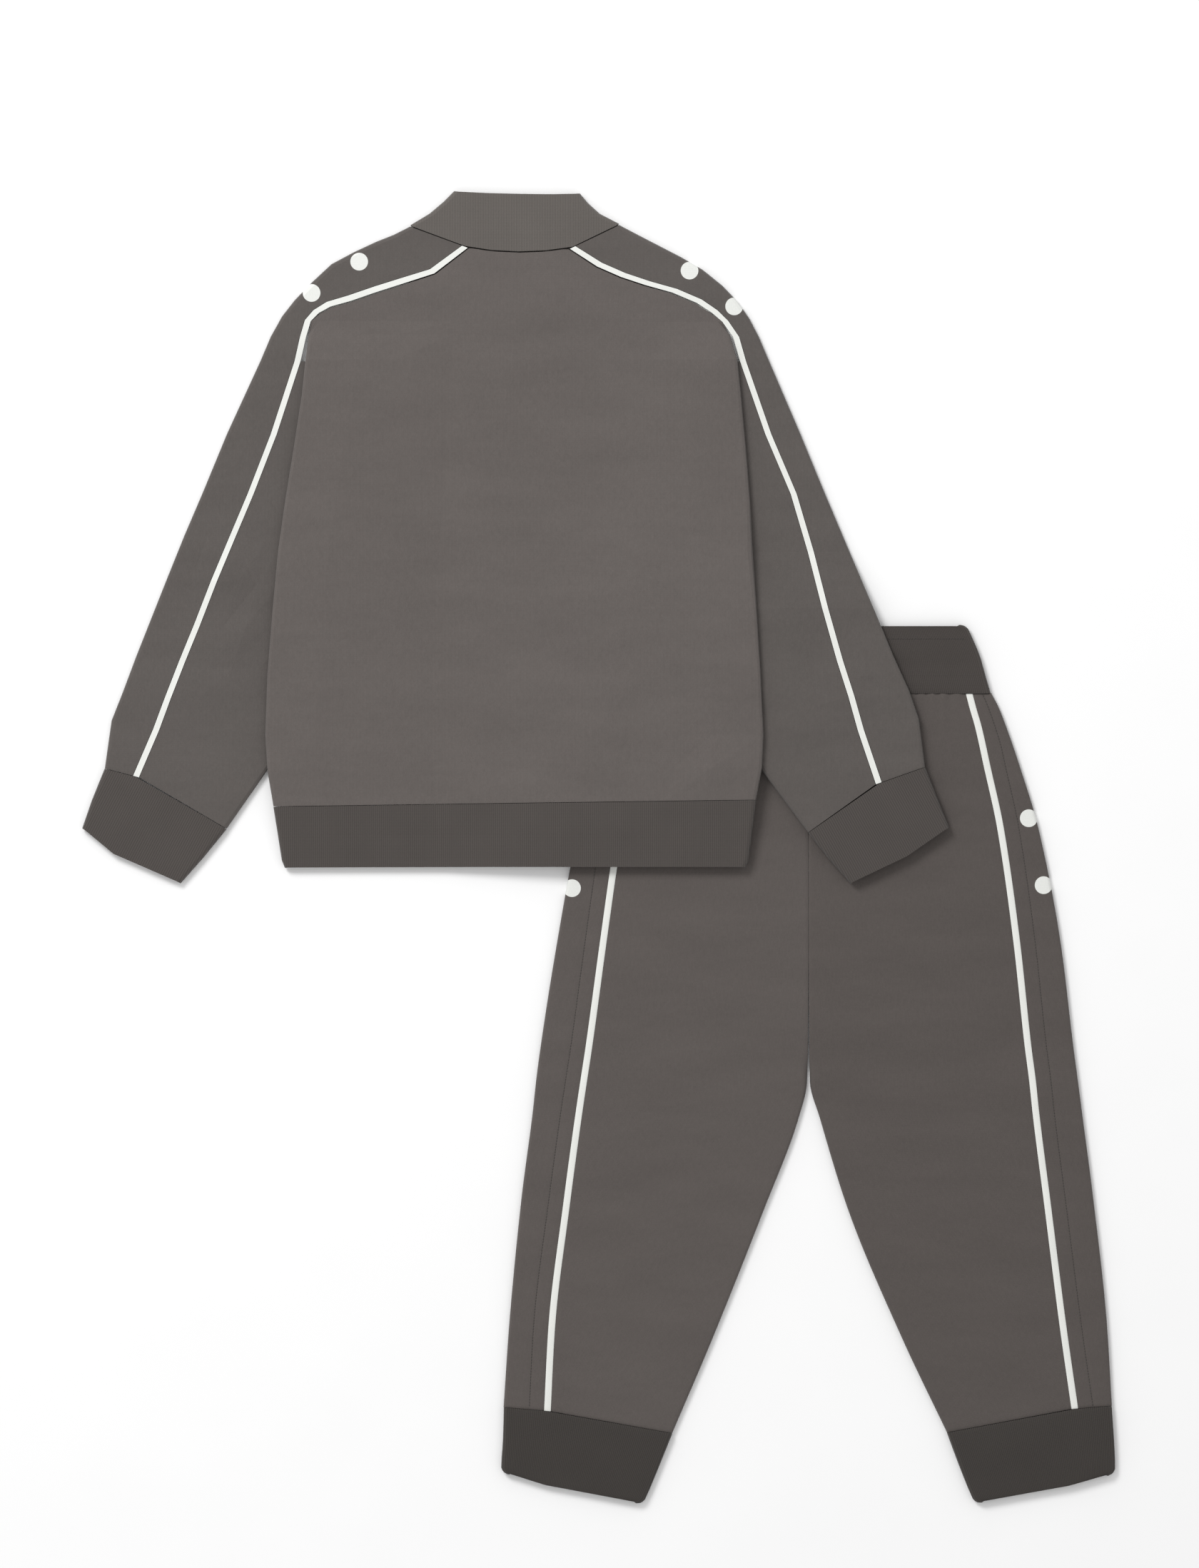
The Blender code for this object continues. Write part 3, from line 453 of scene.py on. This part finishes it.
def jersey(name, colour, spots=(), solid=False):
    """Brushed cotton jersey: fine wales and courses under a short nap, heathered grey-brown.

    A solid has no cloth laid out to take the grain from, so there it comes from the place."""
    material, maker, shader = new_material(name)
    shader.inputs["Sheen Weight"].default_value = 0.12
    shader.inputs["Sheen Roughness"].default_value = 0.6
    shader.inputs["Specular IOR Level"].default_value = 0.12
    place = maker.node("TexCoord", output=3)
    grain = place if solid else maker.node("TexCoord", output=2)
    u = maker.node("SeparateXYZ", None, {0: grain}, 0)
    v = maker.node("SeparateXYZ", None, {0: grain}, 1)
    fibre = speckle(maker, grain, 0.55, 3.0, (1.0, 0.35, 1.0))
    heather = speckle(maker, grain, 2.4, 3.0, (1.0, 0.5, 1.0))
    streak = speckle(maker, place, 18.0, 2.0, (0.3, 1.0, 1.0))
    wander = heather * 1.6
    wale = (u * (2 * math.pi / (0.95 * MM)) + wander).sine()
    course = (v * (2 * math.pi / (0.75 * MM)) + wale.size() * 1.4 + wander).sine()
    tone = 1.0 + fibre * 0.3 + heather * 0.16 + streak * 0.2 + wale * 0.035
    light = tuple(part * 1.5 for part in colour) + (1.0,)
    dark = tuple(part * 0.5 for part in colour) + (1.0,)
    shade = mixed(maker, (tone - 0.5).share(), dark, light)
    rough = 0.88 + fibre * 0.1
    for x, y in spots:
        x_off = maker.node("SeparateXYZ", None, {0: place}, 0) - x * MM
        y_off = maker.node("SeparateXYZ", None, {0: place}, 1) - y * MM
        inside = (SPOT_RADIUS * MM) ** 2 - (x_off * x_off + y_off * y_off)
        mask = (inside * 6.0e5 + fibre * 0.4).share()
        white = mixed(maker, (fibre + 0.5).share(), (0.70, 0.71, 0.68, 1.0), (0.80, 0.81, 0.78, 1.0))
        shade = mixed(maker, mask, shade, white)
        rough = rough - mask * 0.3
    feed(maker, shade, shader, "Base Color")
    feed(maker, rough, shader, "Roughness")
    height = wale * 0.35 + course * 0.25 + fibre * 0.9
    inputs = {"Strength": 0.35, "Distance": 0.00018, "Height": height}
    feed(maker, maker.node("Bump", None, inputs), shader, "Normal")
    return material


def twill(name, colour, solid=False):
    """Flat woven tape, with fine slanting lines and clean edges."""
    material, maker, shader = new_material(name)
    shader.inputs["Specular IOR Level"].default_value = 0.3
    place = maker.node("TexCoord", output=3 if solid else 2)
    u = maker.node("SeparateXYZ", None, {0: place}, 0)
    v = maker.node("SeparateXYZ", None, {0: place}, 1)
    thread = speckle(maker, place, 0.5, 3.0)
    soil = speckle(maker, maker.node("TexCoord", output=3), 22.0)
    line = ((u + v) * (2 * math.pi / (0.6 * MM)) + thread).sine()
    low = tuple(part * 0.94 for part in colour) + (1.0,)
    high = tuple(min(1.0, part * 1.03) for part in colour) + (1.0,)
    feed(maker, mixed(maker, (thread + soil + 0.5).share(), low, high), shader, "Base Color")
    feed(maker, 0.62 + thread * 0.15, shader, "Roughness")
    inputs = {"Strength": 0.3, "Distance": 0.00012, "Height": line * 0.5 + thread}
    feed(maker, maker.node("Bump", None, inputs), shader, "Normal")
    return material


piping_white = twill("white_piping", seen(240, 241, 236))


def piping_strip(node, seams, ways, heights, facing):
    """Flat piping with a low crown that faces up or down, on a path between two panels."""
    share = np.array(CROWN_SHARES)
    crown = PIPING_CROWN * (np.sqrt(1.0 - 0.96 * share**2) - 1.0)
    across = np.array(ways)[:, None, :] * (share * PIPING_WIDTH / 2)[None, :, None]
    points = np.array(seams)[:, None, :] + across
    grid = np.dstack((points, np.array(heights)[:, None] + facing * crown[None, :]))
    piece = shell(f"{node}_cord", grid, PIPING_WALL, piping_white)
    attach(piece, "garment")
    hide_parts(node)
    return piece


def stitches(name, path, material, pitch=1.9, size=(1.6, 0.5, 0.3)):
    """A row of short stitches along a path of points, joined into one mesh."""
    length, width, thick = size
    runs = np.hypot.reduce(np.diff(path, axis=0), axis=1)
    places = np.concatenate(([0.0], np.cumsum(runs)))
    at = np.arange(pitch, places[-1] - pitch, pitch)
    centre = np.column_stack([np.interp(at, places, path[:, axis]) for axis in range(3)])
    ahead = np.column_stack([np.interp(at + 0.5, places, path[:, axis]) for axis in range(3)])
    along = ahead - centre
    along /= np.hypot.reduce(along, axis=1)[:, None]
    side = np.cross(along, (0.0, 0.0, 1.0))
    side /= np.hypot.reduce(side, axis=1)[:, None]
    up = np.cross(side, along)
    points = []
    for place, narrow in ((-0.5, 0.4), (-0.25, 1.0), (0.25, 1.0), (0.5, 0.4)):
        for across, lift in ((0.5, 0.5), (-0.5, 0.5), (-0.5, -0.5), (0.5, -0.5)):
            out = side * (across * width * narrow) + up * (lift * thick * narrow)
            points.append(centre + along * (place * length) + out)
    points = np.stack(points, axis=1).reshape(-1, 3)
    corners = [(3, 2, 1, 0), (12, 13, 14, 15)]
    for ring in range(0, 12, 4):
        for turn in range(4):
            after = (turn + 1) % 4
            corners.append((ring + turn, ring + after, ring + after + 4, ring + turn + 4))
    faces = (np.arange(len(at))[:, None, None] * 16 + np.array(corners)[None]).reshape(-1, 4)
    mesh = bpy.data.meshes.new(name)
    mesh.from_pydata((points * MM).tolist(), [], faces.tolist())
    mesh.shade_smooth()
    mesh.materials.append(material)
    piece = bpy.data.objects.new(name, mesh)
    bpy.context.scene.collection.objects.link(piece)
    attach(piece, "garment")
    return piece


def thread_finish(name, colour):
    """Spun polyester thread, twisted, a little glossier than the cloth."""
    material, maker, shader = new_material(name)
    twist = speckle(maker, maker.node("TexCoord", output=3), 0.4, 3.0)
    low = tuple(part * 0.7 for part in colour) + (1.0,)
    high = tuple(part * 1.3 for part in colour) + (1.0,)
    feed(maker, mixed(maker, (twist + 0.5).share(), low, high), shader, "Base Color")
    feed(maker, 0.6 + twist * 0.2, shader, "Roughness")
    return material


brown_thread = thread_finish("brown_thread", (0.042, 0.036, 0.033))


Limb = collections.namedtuple("Limb", "lift level relief slot")


def past_piping(start, seam, gap):
    """Cut edge of the panel beyond the piping, on a row that comes from start."""
    return seam + unit(seam - start) * (PIPING_WIDTH / 2 + gap)


def side_panel(node, pipings, rows, at, limb, material):
    """A strip round the outer fold between its two pipings, with them and its topstitching."""
    grid = []
    seams, ways, heights = ([], []), ([], []), ([], [])
    for row, start in zip(rows, at):
        fold, pair = row[0:2], (row[2:4], row[4:6])
        ends_dip = seam_dip(start) + seam_dip(at[-1] - start)
        base = limb.lift(fold[None])[0]
        inward = [unit(seam - fold) for seam in pair]
        top = base + limb.level(fold[None])[0]
        turn = half_turn(fold, *inward, top, base + CLOTH / 2, CLOTH)
        turn[:, 2] += ends_dip * np.linspace(1.0, 0.0, len(turn))
        layers = []
        for face, tip in enumerate((turn[0, :2], turn[-1, :2])):
            edge = pair[face] - inward[face] * (PIPING_WIDTH / 2 + SEAM_GAP)
            width = math.hypot(*(tip - edge))
            steps = spaced(width, 4, PANEL_STEPS, (0.0,))
            points = edge + (tip - edge) * (steps / width)[:, None]
            groove = np.exp(-(((steps - steps[STITCH_COLUMN]) / GROOVE_WIDTH) ** 2)) * STITCH_GROOVE
            relief = limb.relief(points) * smooth_step(width - steps, 0.0, FOLD_FADE)
            if face == 0:
                z = limb.level(points) + relief + seam_dip(steps) + ends_dip - groove
            else:
                z = CLOTH / 2 + lower_relief(relief, steps, width) + groove
            layers.append(np.column_stack((points, limb.lift(points) + z))[:-1])
            seams[face].append(pair[face])
            ways[face].append(inward[face])
        grid.append(np.concatenate((layers[0], turn, layers[1][::-1])))
        back_seam = pair[0][None]
        top = limb.lift(back_seam) + limb.level(back_seam) + limb.relief(back_seam)
        heights[0].append(top[0] + PIPING_PROUD + 0.4 * ends_dip)
        heights[1].append(limb.lift(pair[1][None])[0] + PIPING_WALL / 2)
    grid = np.array(grid)
    piece = shell(f"{node}_cloth", grid, CLOTH, material)
    for face, facing in enumerate((1.0, -1.0)):
        piping_strip(pipings[face], seams[face], ways[face], heights[face], facing)
        column = grid[:, (STITCH_COLUMN, -1 - STITCH_COLUMN)[face]]
        path = column + (0.0, 0.0, facing * (CLOTH / 2 + 0.02))
        row_name = f"{node}_topstitch_{('back', 'front')[face]}"
        stitches(row_name, path, brown_thread)
    lay(piece, node)
    return piece, grid


def panel_pair(nodes, rows, at, limb, material, columns):
    """The back panel, whose inner edge rolls under, and the flat front panel below it."""
    back, front = [], []
    for row, start in zip(rows, at):
        outer, seam, inner, roll = row[0:2], row[2:4], row[6:8], row[8]
        ends_dip = seam_dip(start) + seam_dip(at[-1] - start)
        rolled = min(1.0, 2.0 * roll)
        edge = past_piping(outer, seam, SEAM_GAP)
        inward = unit(seam - inner)
        side = inner + inward * SEAM_GAP / 2
        base = limb.lift(inner[None])[0]
        top = base + limb.level(side[None])[0]
        bottom = base + CLOTH / 2
        strip = rolled_edge(side, inward, top, bottom, CLOTH, roll)
        tip = strip[0, :2]
        width = math.hypot(*(tip - edge))
        steps = spaced(width, columns, EDGE_STEPS, (0.0,))
        points = edge + (tip - edge) * (steps / width)[:, None]
        fade = 1.0 - rolled * (1.0 - smooth_step(width - steps, 0.0, FOLD_FADE))
        z = limb.lift(points) + limb.level(points) + limb.relief(points) * fade
        flat = np.column_stack((points, z + seam_dip(steps) + ends_dip))[:-1]
        reach = np.hypot(*(strip[:, :2] - side).T)
        strip[:, 2] += ends_dip * np.linspace(1.0, 1.0 - roll, len(strip))
        strip[:, 2] += (1.0 - rolled) * (seam_dip(reach) + limb.relief(strip[:, :2]))
        back.append(np.concatenate((flat, strip)))
        last = side + inward * ((top - bottom + CLOTH) / 2 + ROLL_GAP) * rolled
        width = math.hypot(*(last - edge))
        steps = spaced(width, columns // 2)
        points = edge + (last - edge) * (steps / width)[:, None]
        low = lower_relief(limb.relief(points), steps, width)
        front.append(np.column_stack((points, limb.lift(points) + CLOTH / 2 + low)))
    back, front = np.array(back), np.array(front)
    front_piece = shell(f"{nodes[1]}_cloth", front, CLOTH, material)
    lay(front_piece, nodes[1])
    back_piece = shell(f"{nodes[0]}_cloth", back, CLOTH, material)
    lay(back_piece, nodes[0])


def on_floor(points):
    return np.zeros(len(points))


def trouser_level(points):
    return np.full(len(points), CLOTH_UPPER)


def all_gathers():
    """The gathers that show, and like ones over the rest of both backs."""
    gathers = list(SHOWN_GATHERS)
    length, crest, half_width = HIDDEN_GATHER
    for start in GATHER_STARTS:
        for x in start + GATHER_PITCH * np.arange(GATHERS_PER_BACK):
            if x < SHOWN_GATHERS[0][0] - half_width:
                own_length = length + GATHER_VARIES[0] * math.sin(2.3 * x)
                own_crest = crest + GATHER_VARIES[1] * math.sin(1.2 * x)
                gathers.append((x, own_length, own_crest, half_width))
    return gathers


def gathered(points):
    """Height of the gathers under the waistband, which widen and sink on their way down."""
    height = np.zeros(len(points))
    for x, length, crest, half_width in all_gathers():
        down = np.clip((LEFT_LEG[0][1] - points[:, 1]) / length, 0.0, 1.0)
        off = (points[:, 0] - x) / (half_width * (1.0 + 0.5 * down))
        profile = np.where(np.abs(off) < 1.0, np.cos(off * math.pi / 2) ** 2, 0.0)
        height += crest * profile * (1.0 - down) ** 1.3
    return height


def trouser_relief(points):
    swell = 0.15 * ripple(points, 46.0, 0.4)
    return kept_clear(creases(points, LEG_CREASES) + gathered(points) + swell)


trousers = Limb(on_floor, trouser_level, trouser_relief, "leg_jersey")
# Both legs are one jersey: the right leg's colour is the left's painted darker, as painted shade for
# lying further from the lamp on the upper left
leg_shapes = (("left", LEFT_LEG, seen(93, 87, 84)), ("right", RIGHT_LEG, seen(89, 83, 80)))
for leg_side, leg_table, leg_colour in leg_shapes:
    leg_table = np.array(leg_table)
    leg_table = np.column_stack((leg_table[:, 0:4], leg_table[:, 2:7]))
    leg_rows, leg_at, _ = smooth_rows(leg_table, JERSEY_STEP)
    leg_cloth = jersey(f"leg_jersey_{leg_side}", leg_colour)
    side_cloth = jersey(f"leg_side_jersey_{leg_side}", leg_colour, LEG_SPOTS[leg_side])
    leg_nodes = [f"trouser_{face}_{leg_side}" for face in ("back", "front")]
    panel_pair(leg_nodes, leg_rows, leg_at, trousers, leg_cloth, 44)
    leg_pipings = [f"trouser_piping_{face}_{leg_side}" for face in ("back", "front")]
    side_panel(f"trouser_side_{leg_side}", leg_pipings, leg_rows, leg_at, trousers, side_cloth)

# Leg cuffs and waistband
# Bands of fine cotton and elastane rib, knitted round and folded double. The waistband holds a
# wide elastic between two rows of coverstitch, which makes it swell between them.
RIB = 2.2
RIB_UPPER = RIB + LAYER_GAP + RIB / 2
FINE_RIB_PITCH = 1.3
RIB_SAMPLES = 4
RIB_HEIGHT = 0.15
RIB_ROW = 8.0
RIB_END_STEPS = (0.0, 0.5, 1.3, 2.6)
LEG_CUFF_ROWS = {
    # outer x, y    middle x, y    inner x, y
    "left": (
        (-64.0, -376.0, -34.5, -378.5, 49.5, -393.5),
        (-64.5, -397.0, -36.5, -403.0, 40.5, -416.0),
        (-66.0, -418.5, -36.0, -428.0, 30.5, -440.5),
    ),
    "right": (
        (345.0, -375.0, 320.0, -377.0, 234.0, -393.0),
        (346.5, -397.0, 318.0, -404.0, 242.5, -416.0),
        (347.5, -419.5, 316.0, -428.5, 252.0, -440.0),
    ),
}
WAISTBAND_ROWS = (
    # left x    right x    y
    (18.5, 263.5, 104.0),
    (22.0, 260.0, 116.0),
    (26.0, 256.5, 128.5),
    (30.5, 251.5, 140.5),
    (34.0, 248.0, 149.0),
)
WAIST_STITCH_Y = (116.2, 140.6)
# The elastic makes a crest, a hollow and a lower crest down the band
WAIST_FORM = (
    # y    height
    (104.6, 0.0),
    (110.0, 0.5),
    (116.2, 0.1),
    (125.0, -0.65),
    (131.0, 0.1),
    (135.4, 1.0),
    (140.6, 0.2),
    (149.0, 0.0),
)
LEG_CUFF_CORNER = 4.0
WAIST_CORNER = 4.0


def rib_finish(name, colour, across=None, pitch=FINE_RIB_PITCH):
    """Fine rib knit: painted light on the crests, painted shade in the valleys, and rows of small
    stitches down each rib.

    A shell's mesh has its ribs and marks them. A solid gets them here, repeating along across."""
    material, maker, shader = new_material(name)
    shader.inputs["Sheen Weight"].default_value = 0.12
    shader.inputs["Sheen Roughness"].default_value = 0.6
    shader.inputs["Specular IOR Level"].default_value = 0.15
    place = maker.node("TexCoord", output=3)
    if across is None:
        grain = maker.node("TexCoord", output=2)
        v = maker.node("SeparateXYZ", None, {0: grain}, 1)
        crest = maker.node("Attribute", {"attribute_name": "rib_crest"}, None, 2)
        rise = 0.0
    else:
        grain = place
        x = maker.node("SeparateXYZ", None, {0: place}, 0)
        y = maker.node("SeparateXYZ", None, {0: place}, 1)
        v = y * across[0] - x * across[1]
        turn = (x * across[0] + y * across[1]) * (2 * math.pi / (pitch * MM))
        crest = turn.sine() * 0.5 + 0.5
        rise = crest * 1.5
    fibre = speckle(maker, grain, 0.5, 3.0, (1.0, 0.5, 1.0))
    cloud = speckle(maker, place, 30.0, 2.0)
    course = (v * (2 * math.pi / (0.9 * MM)) + fibre * 2.0).sine()
    # Crests are painted lighter and valleys painted darker, as painted light and shade on the ribs,
    # with random fibre and cloud tone on top
    tone = 1.0 + (crest - 0.5) * 0.34 + fibre * 0.22 + cloud * 0.16 + course * 0.05
    light = tuple(part * 1.5 for part in colour) + (1.0,)
    dark = tuple(part * 0.5 for part in colour) + (1.0,)
    feed(maker, mixed(maker, (tone - 0.5).share(), dark, light), shader, "Base Color")
    feed(maker, 0.9 + fibre * 0.1, shader, "Roughness")
    inputs = {"Strength": 0.4, "Distance": 0.0002, "Height": course * 0.4 + fibre + rise}
    feed(maker, maker.node("Bump", None, inputs), shader, "Normal")
    return material


def even_loop(points, count):
    """The points of a closed row, at even distances round it."""
    ring = np.concatenate((points, points[:1]))
    runs = np.hypot.reduce(np.diff(ring, axis=0), axis=1)
    places = np.concatenate(([0.0], np.cumsum(runs)))
    at = np.arange(count) / count * places[-1]
    return np.column_stack([np.interp(at, places, ring[:, axis]) for axis in range(3)])


def even_row(points, count):
    """The points of an open row, at even distances along it."""
    runs = np.hypot.reduce(np.diff(points, axis=0), axis=1)
    places = np.concatenate(([0.0], np.cumsum(runs)))
    at = np.linspace(0.0, places[-1], count)
    return np.column_stack([np.interp(at, places, points[:, axis]) for axis in range(3)])


def rib_shell(node, grid, wall, material, closed):
    """A shell with ribs raised on both faces and marked for the finish, laid as a node's cloth."""
    piece = shell(f"{node}_rib", grid, wall - 4 * RIB_HEIGHT, material, closed)
    piece.modifiers["wall"].use_even_offset = False
    crest = 0.5 + 0.5 * np.cos(np.arange(grid.shape[1]) * 2 * math.pi / RIB_SAMPLES)
    crests = np.tile(crest.round(6), len(grid))
    mark = piece.data.attributes.new("rib_crest", "FLOAT", "POINT")
    mark.data.foreach_set("value", crests)
    ribs = piece.vertex_groups.new(name="ribs")
    for height in np.unique(crests):
        ribs.add(np.flatnonzero(crests == height).tolist(), float(height), "REPLACE")
    raise_ribs = piece.modifiers.new("ribs", "DISPLACE")
    raise_ribs.strength = 2 * RIB_HEIGHT * MM
    raise_ribs.mid_level = 0.0
    raise_ribs.vertex_group = "ribs"
    lay(piece, node)
    return piece


def drawn_in(corner, left):
    """How far a rounded corner lies inside the side, at a distance left to the end."""
    return corner - math.sqrt(corner**2 - max(0.0, corner - left) ** 2)


def rib_band(node, table, lift, relief, material, pitch, corner):
    """A closed tube of rib lying flat: its upper layer, inner fold, lower layer, outer fold."""
    rows, at, _ = smooth_rows(table, RIB_ROW, RIB_END_STEPS)
    loops = []
    for row, start in zip(rows, at):
        middle = row[2:4]
        folds, turns = [], []
        for fold in (row[0:2], row[4:6]):
            inward = unit(middle - fold)
            fold = fold + inward * drawn_in(corner, at[-1] - start)
            base = lift(fold[None])[0]
            folds.append(fold)
            turns.append(half_turn(fold, inward, inward, base + RIB_UPPER, base + RIB / 2, RIB))
        share = np.linspace(0.0, 1.0, 34)[1:-1, None]
        first = turns[0][0, :2] + (middle - turns[0][0, :2]) * share
        second = middle + (turns[1][0, :2] - middle) * share
        flat = np.concatenate((first, middle[None], second))
        fade = smooth_step(np.hypot(*(flat - folds[0]).T), 3.0, 12.0)
        fade = fade * smooth_step(np.hypot(*(flat - folds[1]).T), 3.0, 12.0)
        z = lift(flat) + RIB_UPPER + relief(flat) * fade + seam_dip(start)
        lower = raised(flat[::-1], lift(flat[::-1]) + RIB / 2)
        loops.append(np.concatenate((raised(flat, z), turns[1], lower, turns[0][::-1])))
    girth = np.hypot.reduce(np.diff(loops[0], axis=0), axis=1).sum()
    count = int(girth / pitch) * RIB_SAMPLES
    grid = np.array([even_loop(loop, count) for loop in loops])
    return rib_shell(node, grid, RIB, material, True)


def drawn_back(table):
    """A cuff's rows, with the first one drawn back from the seam by the gap."""
    rows = np.array(table, float)
    for at in (0, 2, 4):
        rows[0, at : at + 2] += unit(rows[1, at : at + 2] - rows[0, at : at + 2]) * SEAM_GAP
    return rows


def cuff_relief(points):
    return kept_clear(0.12 * ripple(points, 19.0, 1.9))


def curve_height(table, x):
    """Heights of a smooth line through x, y points, at places across it."""
    table = np.array(table, float)
    inside = np.clip(np.atleast_1d(x), table[0, 0], table[-1, 0])
    return smooth_curve(table[:, 0], table[:, 1:2], inside)[:, 0]


def waist_relief(points):
    form = curve_height(WAIST_FORM, points[:, 1]) * (1.0 + 0.1 * ripple(points, 11.0, 0.3))
    for stitch_y in WAIST_STITCH_Y:
        form -= STITCH_GROOVE * np.exp(-(((points[:, 1] - stitch_y) / GROOVE_WIDTH) ** 2))
    return form


leg_cuff_rib = rib_finish("leg_cuff_knit", seen(64, 60, 57))
waist_rib = rib_finish("waistband_knit", seen(72, 67, 64))
for cuff_side, cuff_table in LEG_CUFF_ROWS.items():
    rib_band(
        f"trouser_cuff_{cuff_side}",
        drawn_back(cuff_table),
        on_floor,
        cuff_relief,
        leg_cuff_rib,
        FINE_RIB_PITCH,
        LEG_CUFF_CORNER,
    )
waist_table = [(left, y, (left + right) / 2, y, right, y) for left, right, y in WAISTBAND_ROWS]
rib_band(
    "trouser_waistband",
    waist_table,
    on_floor,
    waist_relief,
    waist_rib,
    FINE_RIB_PITCH,
    WAIST_CORNER,
)
for number, stitch_y in enumerate(WAIST_STITCH_Y):
    ends = [np.interp(stitch_y, [row[2] for row in WAISTBAND_ROWS], side) + gap for side, gap in (
        ([row[0] for row in WAISTBAND_ROWS], 5.0),
        ([row[1] for row in WAISTBAND_ROWS], -5.0),
    )]
    stitch_x = np.linspace(*ends, 120)
    stitch_points = np.column_stack((stitch_x, np.full(len(stitch_x), stitch_y)))
    stitch_z = RIB_UPPER + waist_relief(stitch_points) + RIB / 2
    stitch_path = np.column_stack((stitch_points, stitch_z))
    stitches(f"waistband_coverstitch_{number}", stitch_path, brown_thread)

# Jacket
# Its panels, bands, piping and zip show as their solids: brushed jersey on the panels, ribs across
# the bands, woven white piping and tapes, and dulled metal. Grain and ribs come from their places.
SLEEVE_RIB_PITCH = 1.5
COLLAR_RIB_PITCH = 1.1
ACROSS_BODY = (1.0, 0.0)
CUFF_MIDDLES = {
    # outer x, y and inner x, y of the row halfway down each sleeve cuff
    "left": ((-340.5, 32.5), (-265.5, -6.0)),
    "right": ((227.0, 34.0), (154.0, -6.5)),
}
SHOULDER_SPOTS = {
    # x, y of the plain white discs
    "left": ((-161.0, 394.0), (-193.0, 373.0)),
    "right": ((61.0, 388.0), (91.0, 364.0)),
}


def dress(node, material):
    """Give its finish to a solid that shows as itself."""
    bpy.data.objects[node].material_slots[0].material = material


def speckled(name, colour, metallic, rough):
    """A hard finish with fine uneven wear in its colour and its shine."""
    material, maker, shader = new_material(name)
    shader.inputs["Metallic"].default_value = metallic
    wear = speckle(maker, maker.node("TexCoord", output=3), 1.2, 4.0)
    low = tuple(part * 0.85 for part in colour) + (1.0,)
    high = tuple(part * 1.1 for part in colour) + (1.0,)
    feed(maker, mixed(maker, (wear + 0.5).share(), low, high), shader, "Base Color")
    feed(maker, rough + wear * 0.2, shader, "Roughness")
    return material


body_cloth = jersey("body_jersey", seen(100, 94, 91), solid=True)
sleeve_cloth = jersey("sleeve_jersey", seen(93, 88, 85), solid=True)
jacket_piping = twill("jacket_piping", seen(240, 241, 236), solid=True)
zip_tape = twill("zip_tape", seen(72, 67, 64), solid=True)
zip_metal = speckled("zip_metal", (0.25, 0.24, 0.23), 1.0, 0.35)
for node in ("jacket_back", "jacket_front_left", "jacket_front_right"):
    dress(node, body_cloth)
for side, spots in SHOULDER_SPOTS.items():
    overarm = jersey(f"overarm_jersey_{side}", seen(93, 88, 85), spots, solid=True)
    dress(f"sleeve_overarm_{side}", overarm)
    for face in ("back", "front"):
        dress(f"sleeve_{face}_{side}", sleeve_cloth)
        dress(f"sleeve_piping_{face}_{side}", jacket_piping)
    outer, inner = np.array(CUFF_MIDDLES[side])
    across_cuff = unit(inner - outer).tolist()
    cuff_knit = f"sleeve_cuff_knit_{side}"
    dress(f"sleeve_cuff_{side}", rib_finish(cuff_knit, seen(79, 74, 71), across_cuff, SLEEVE_RIB_PITCH))
    dress(f"zip_tape_{side}", zip_tape)
dress("jacket_hem_band", rib_finish("hem_knit", seen(79, 74, 71), ACROSS_BODY))
dress("jacket_collar", rib_finish("collar_knit", seen(100, 95, 91), ACROSS_BODY, COLLAR_RIB_PITCH))
dress("zip_teeth", speckled("zip_plastic", seen(72, 67, 64), 0.0, 0.5))
dress("zip_slider", zip_metal)
dress("zip_pull_tab", zip_metal)
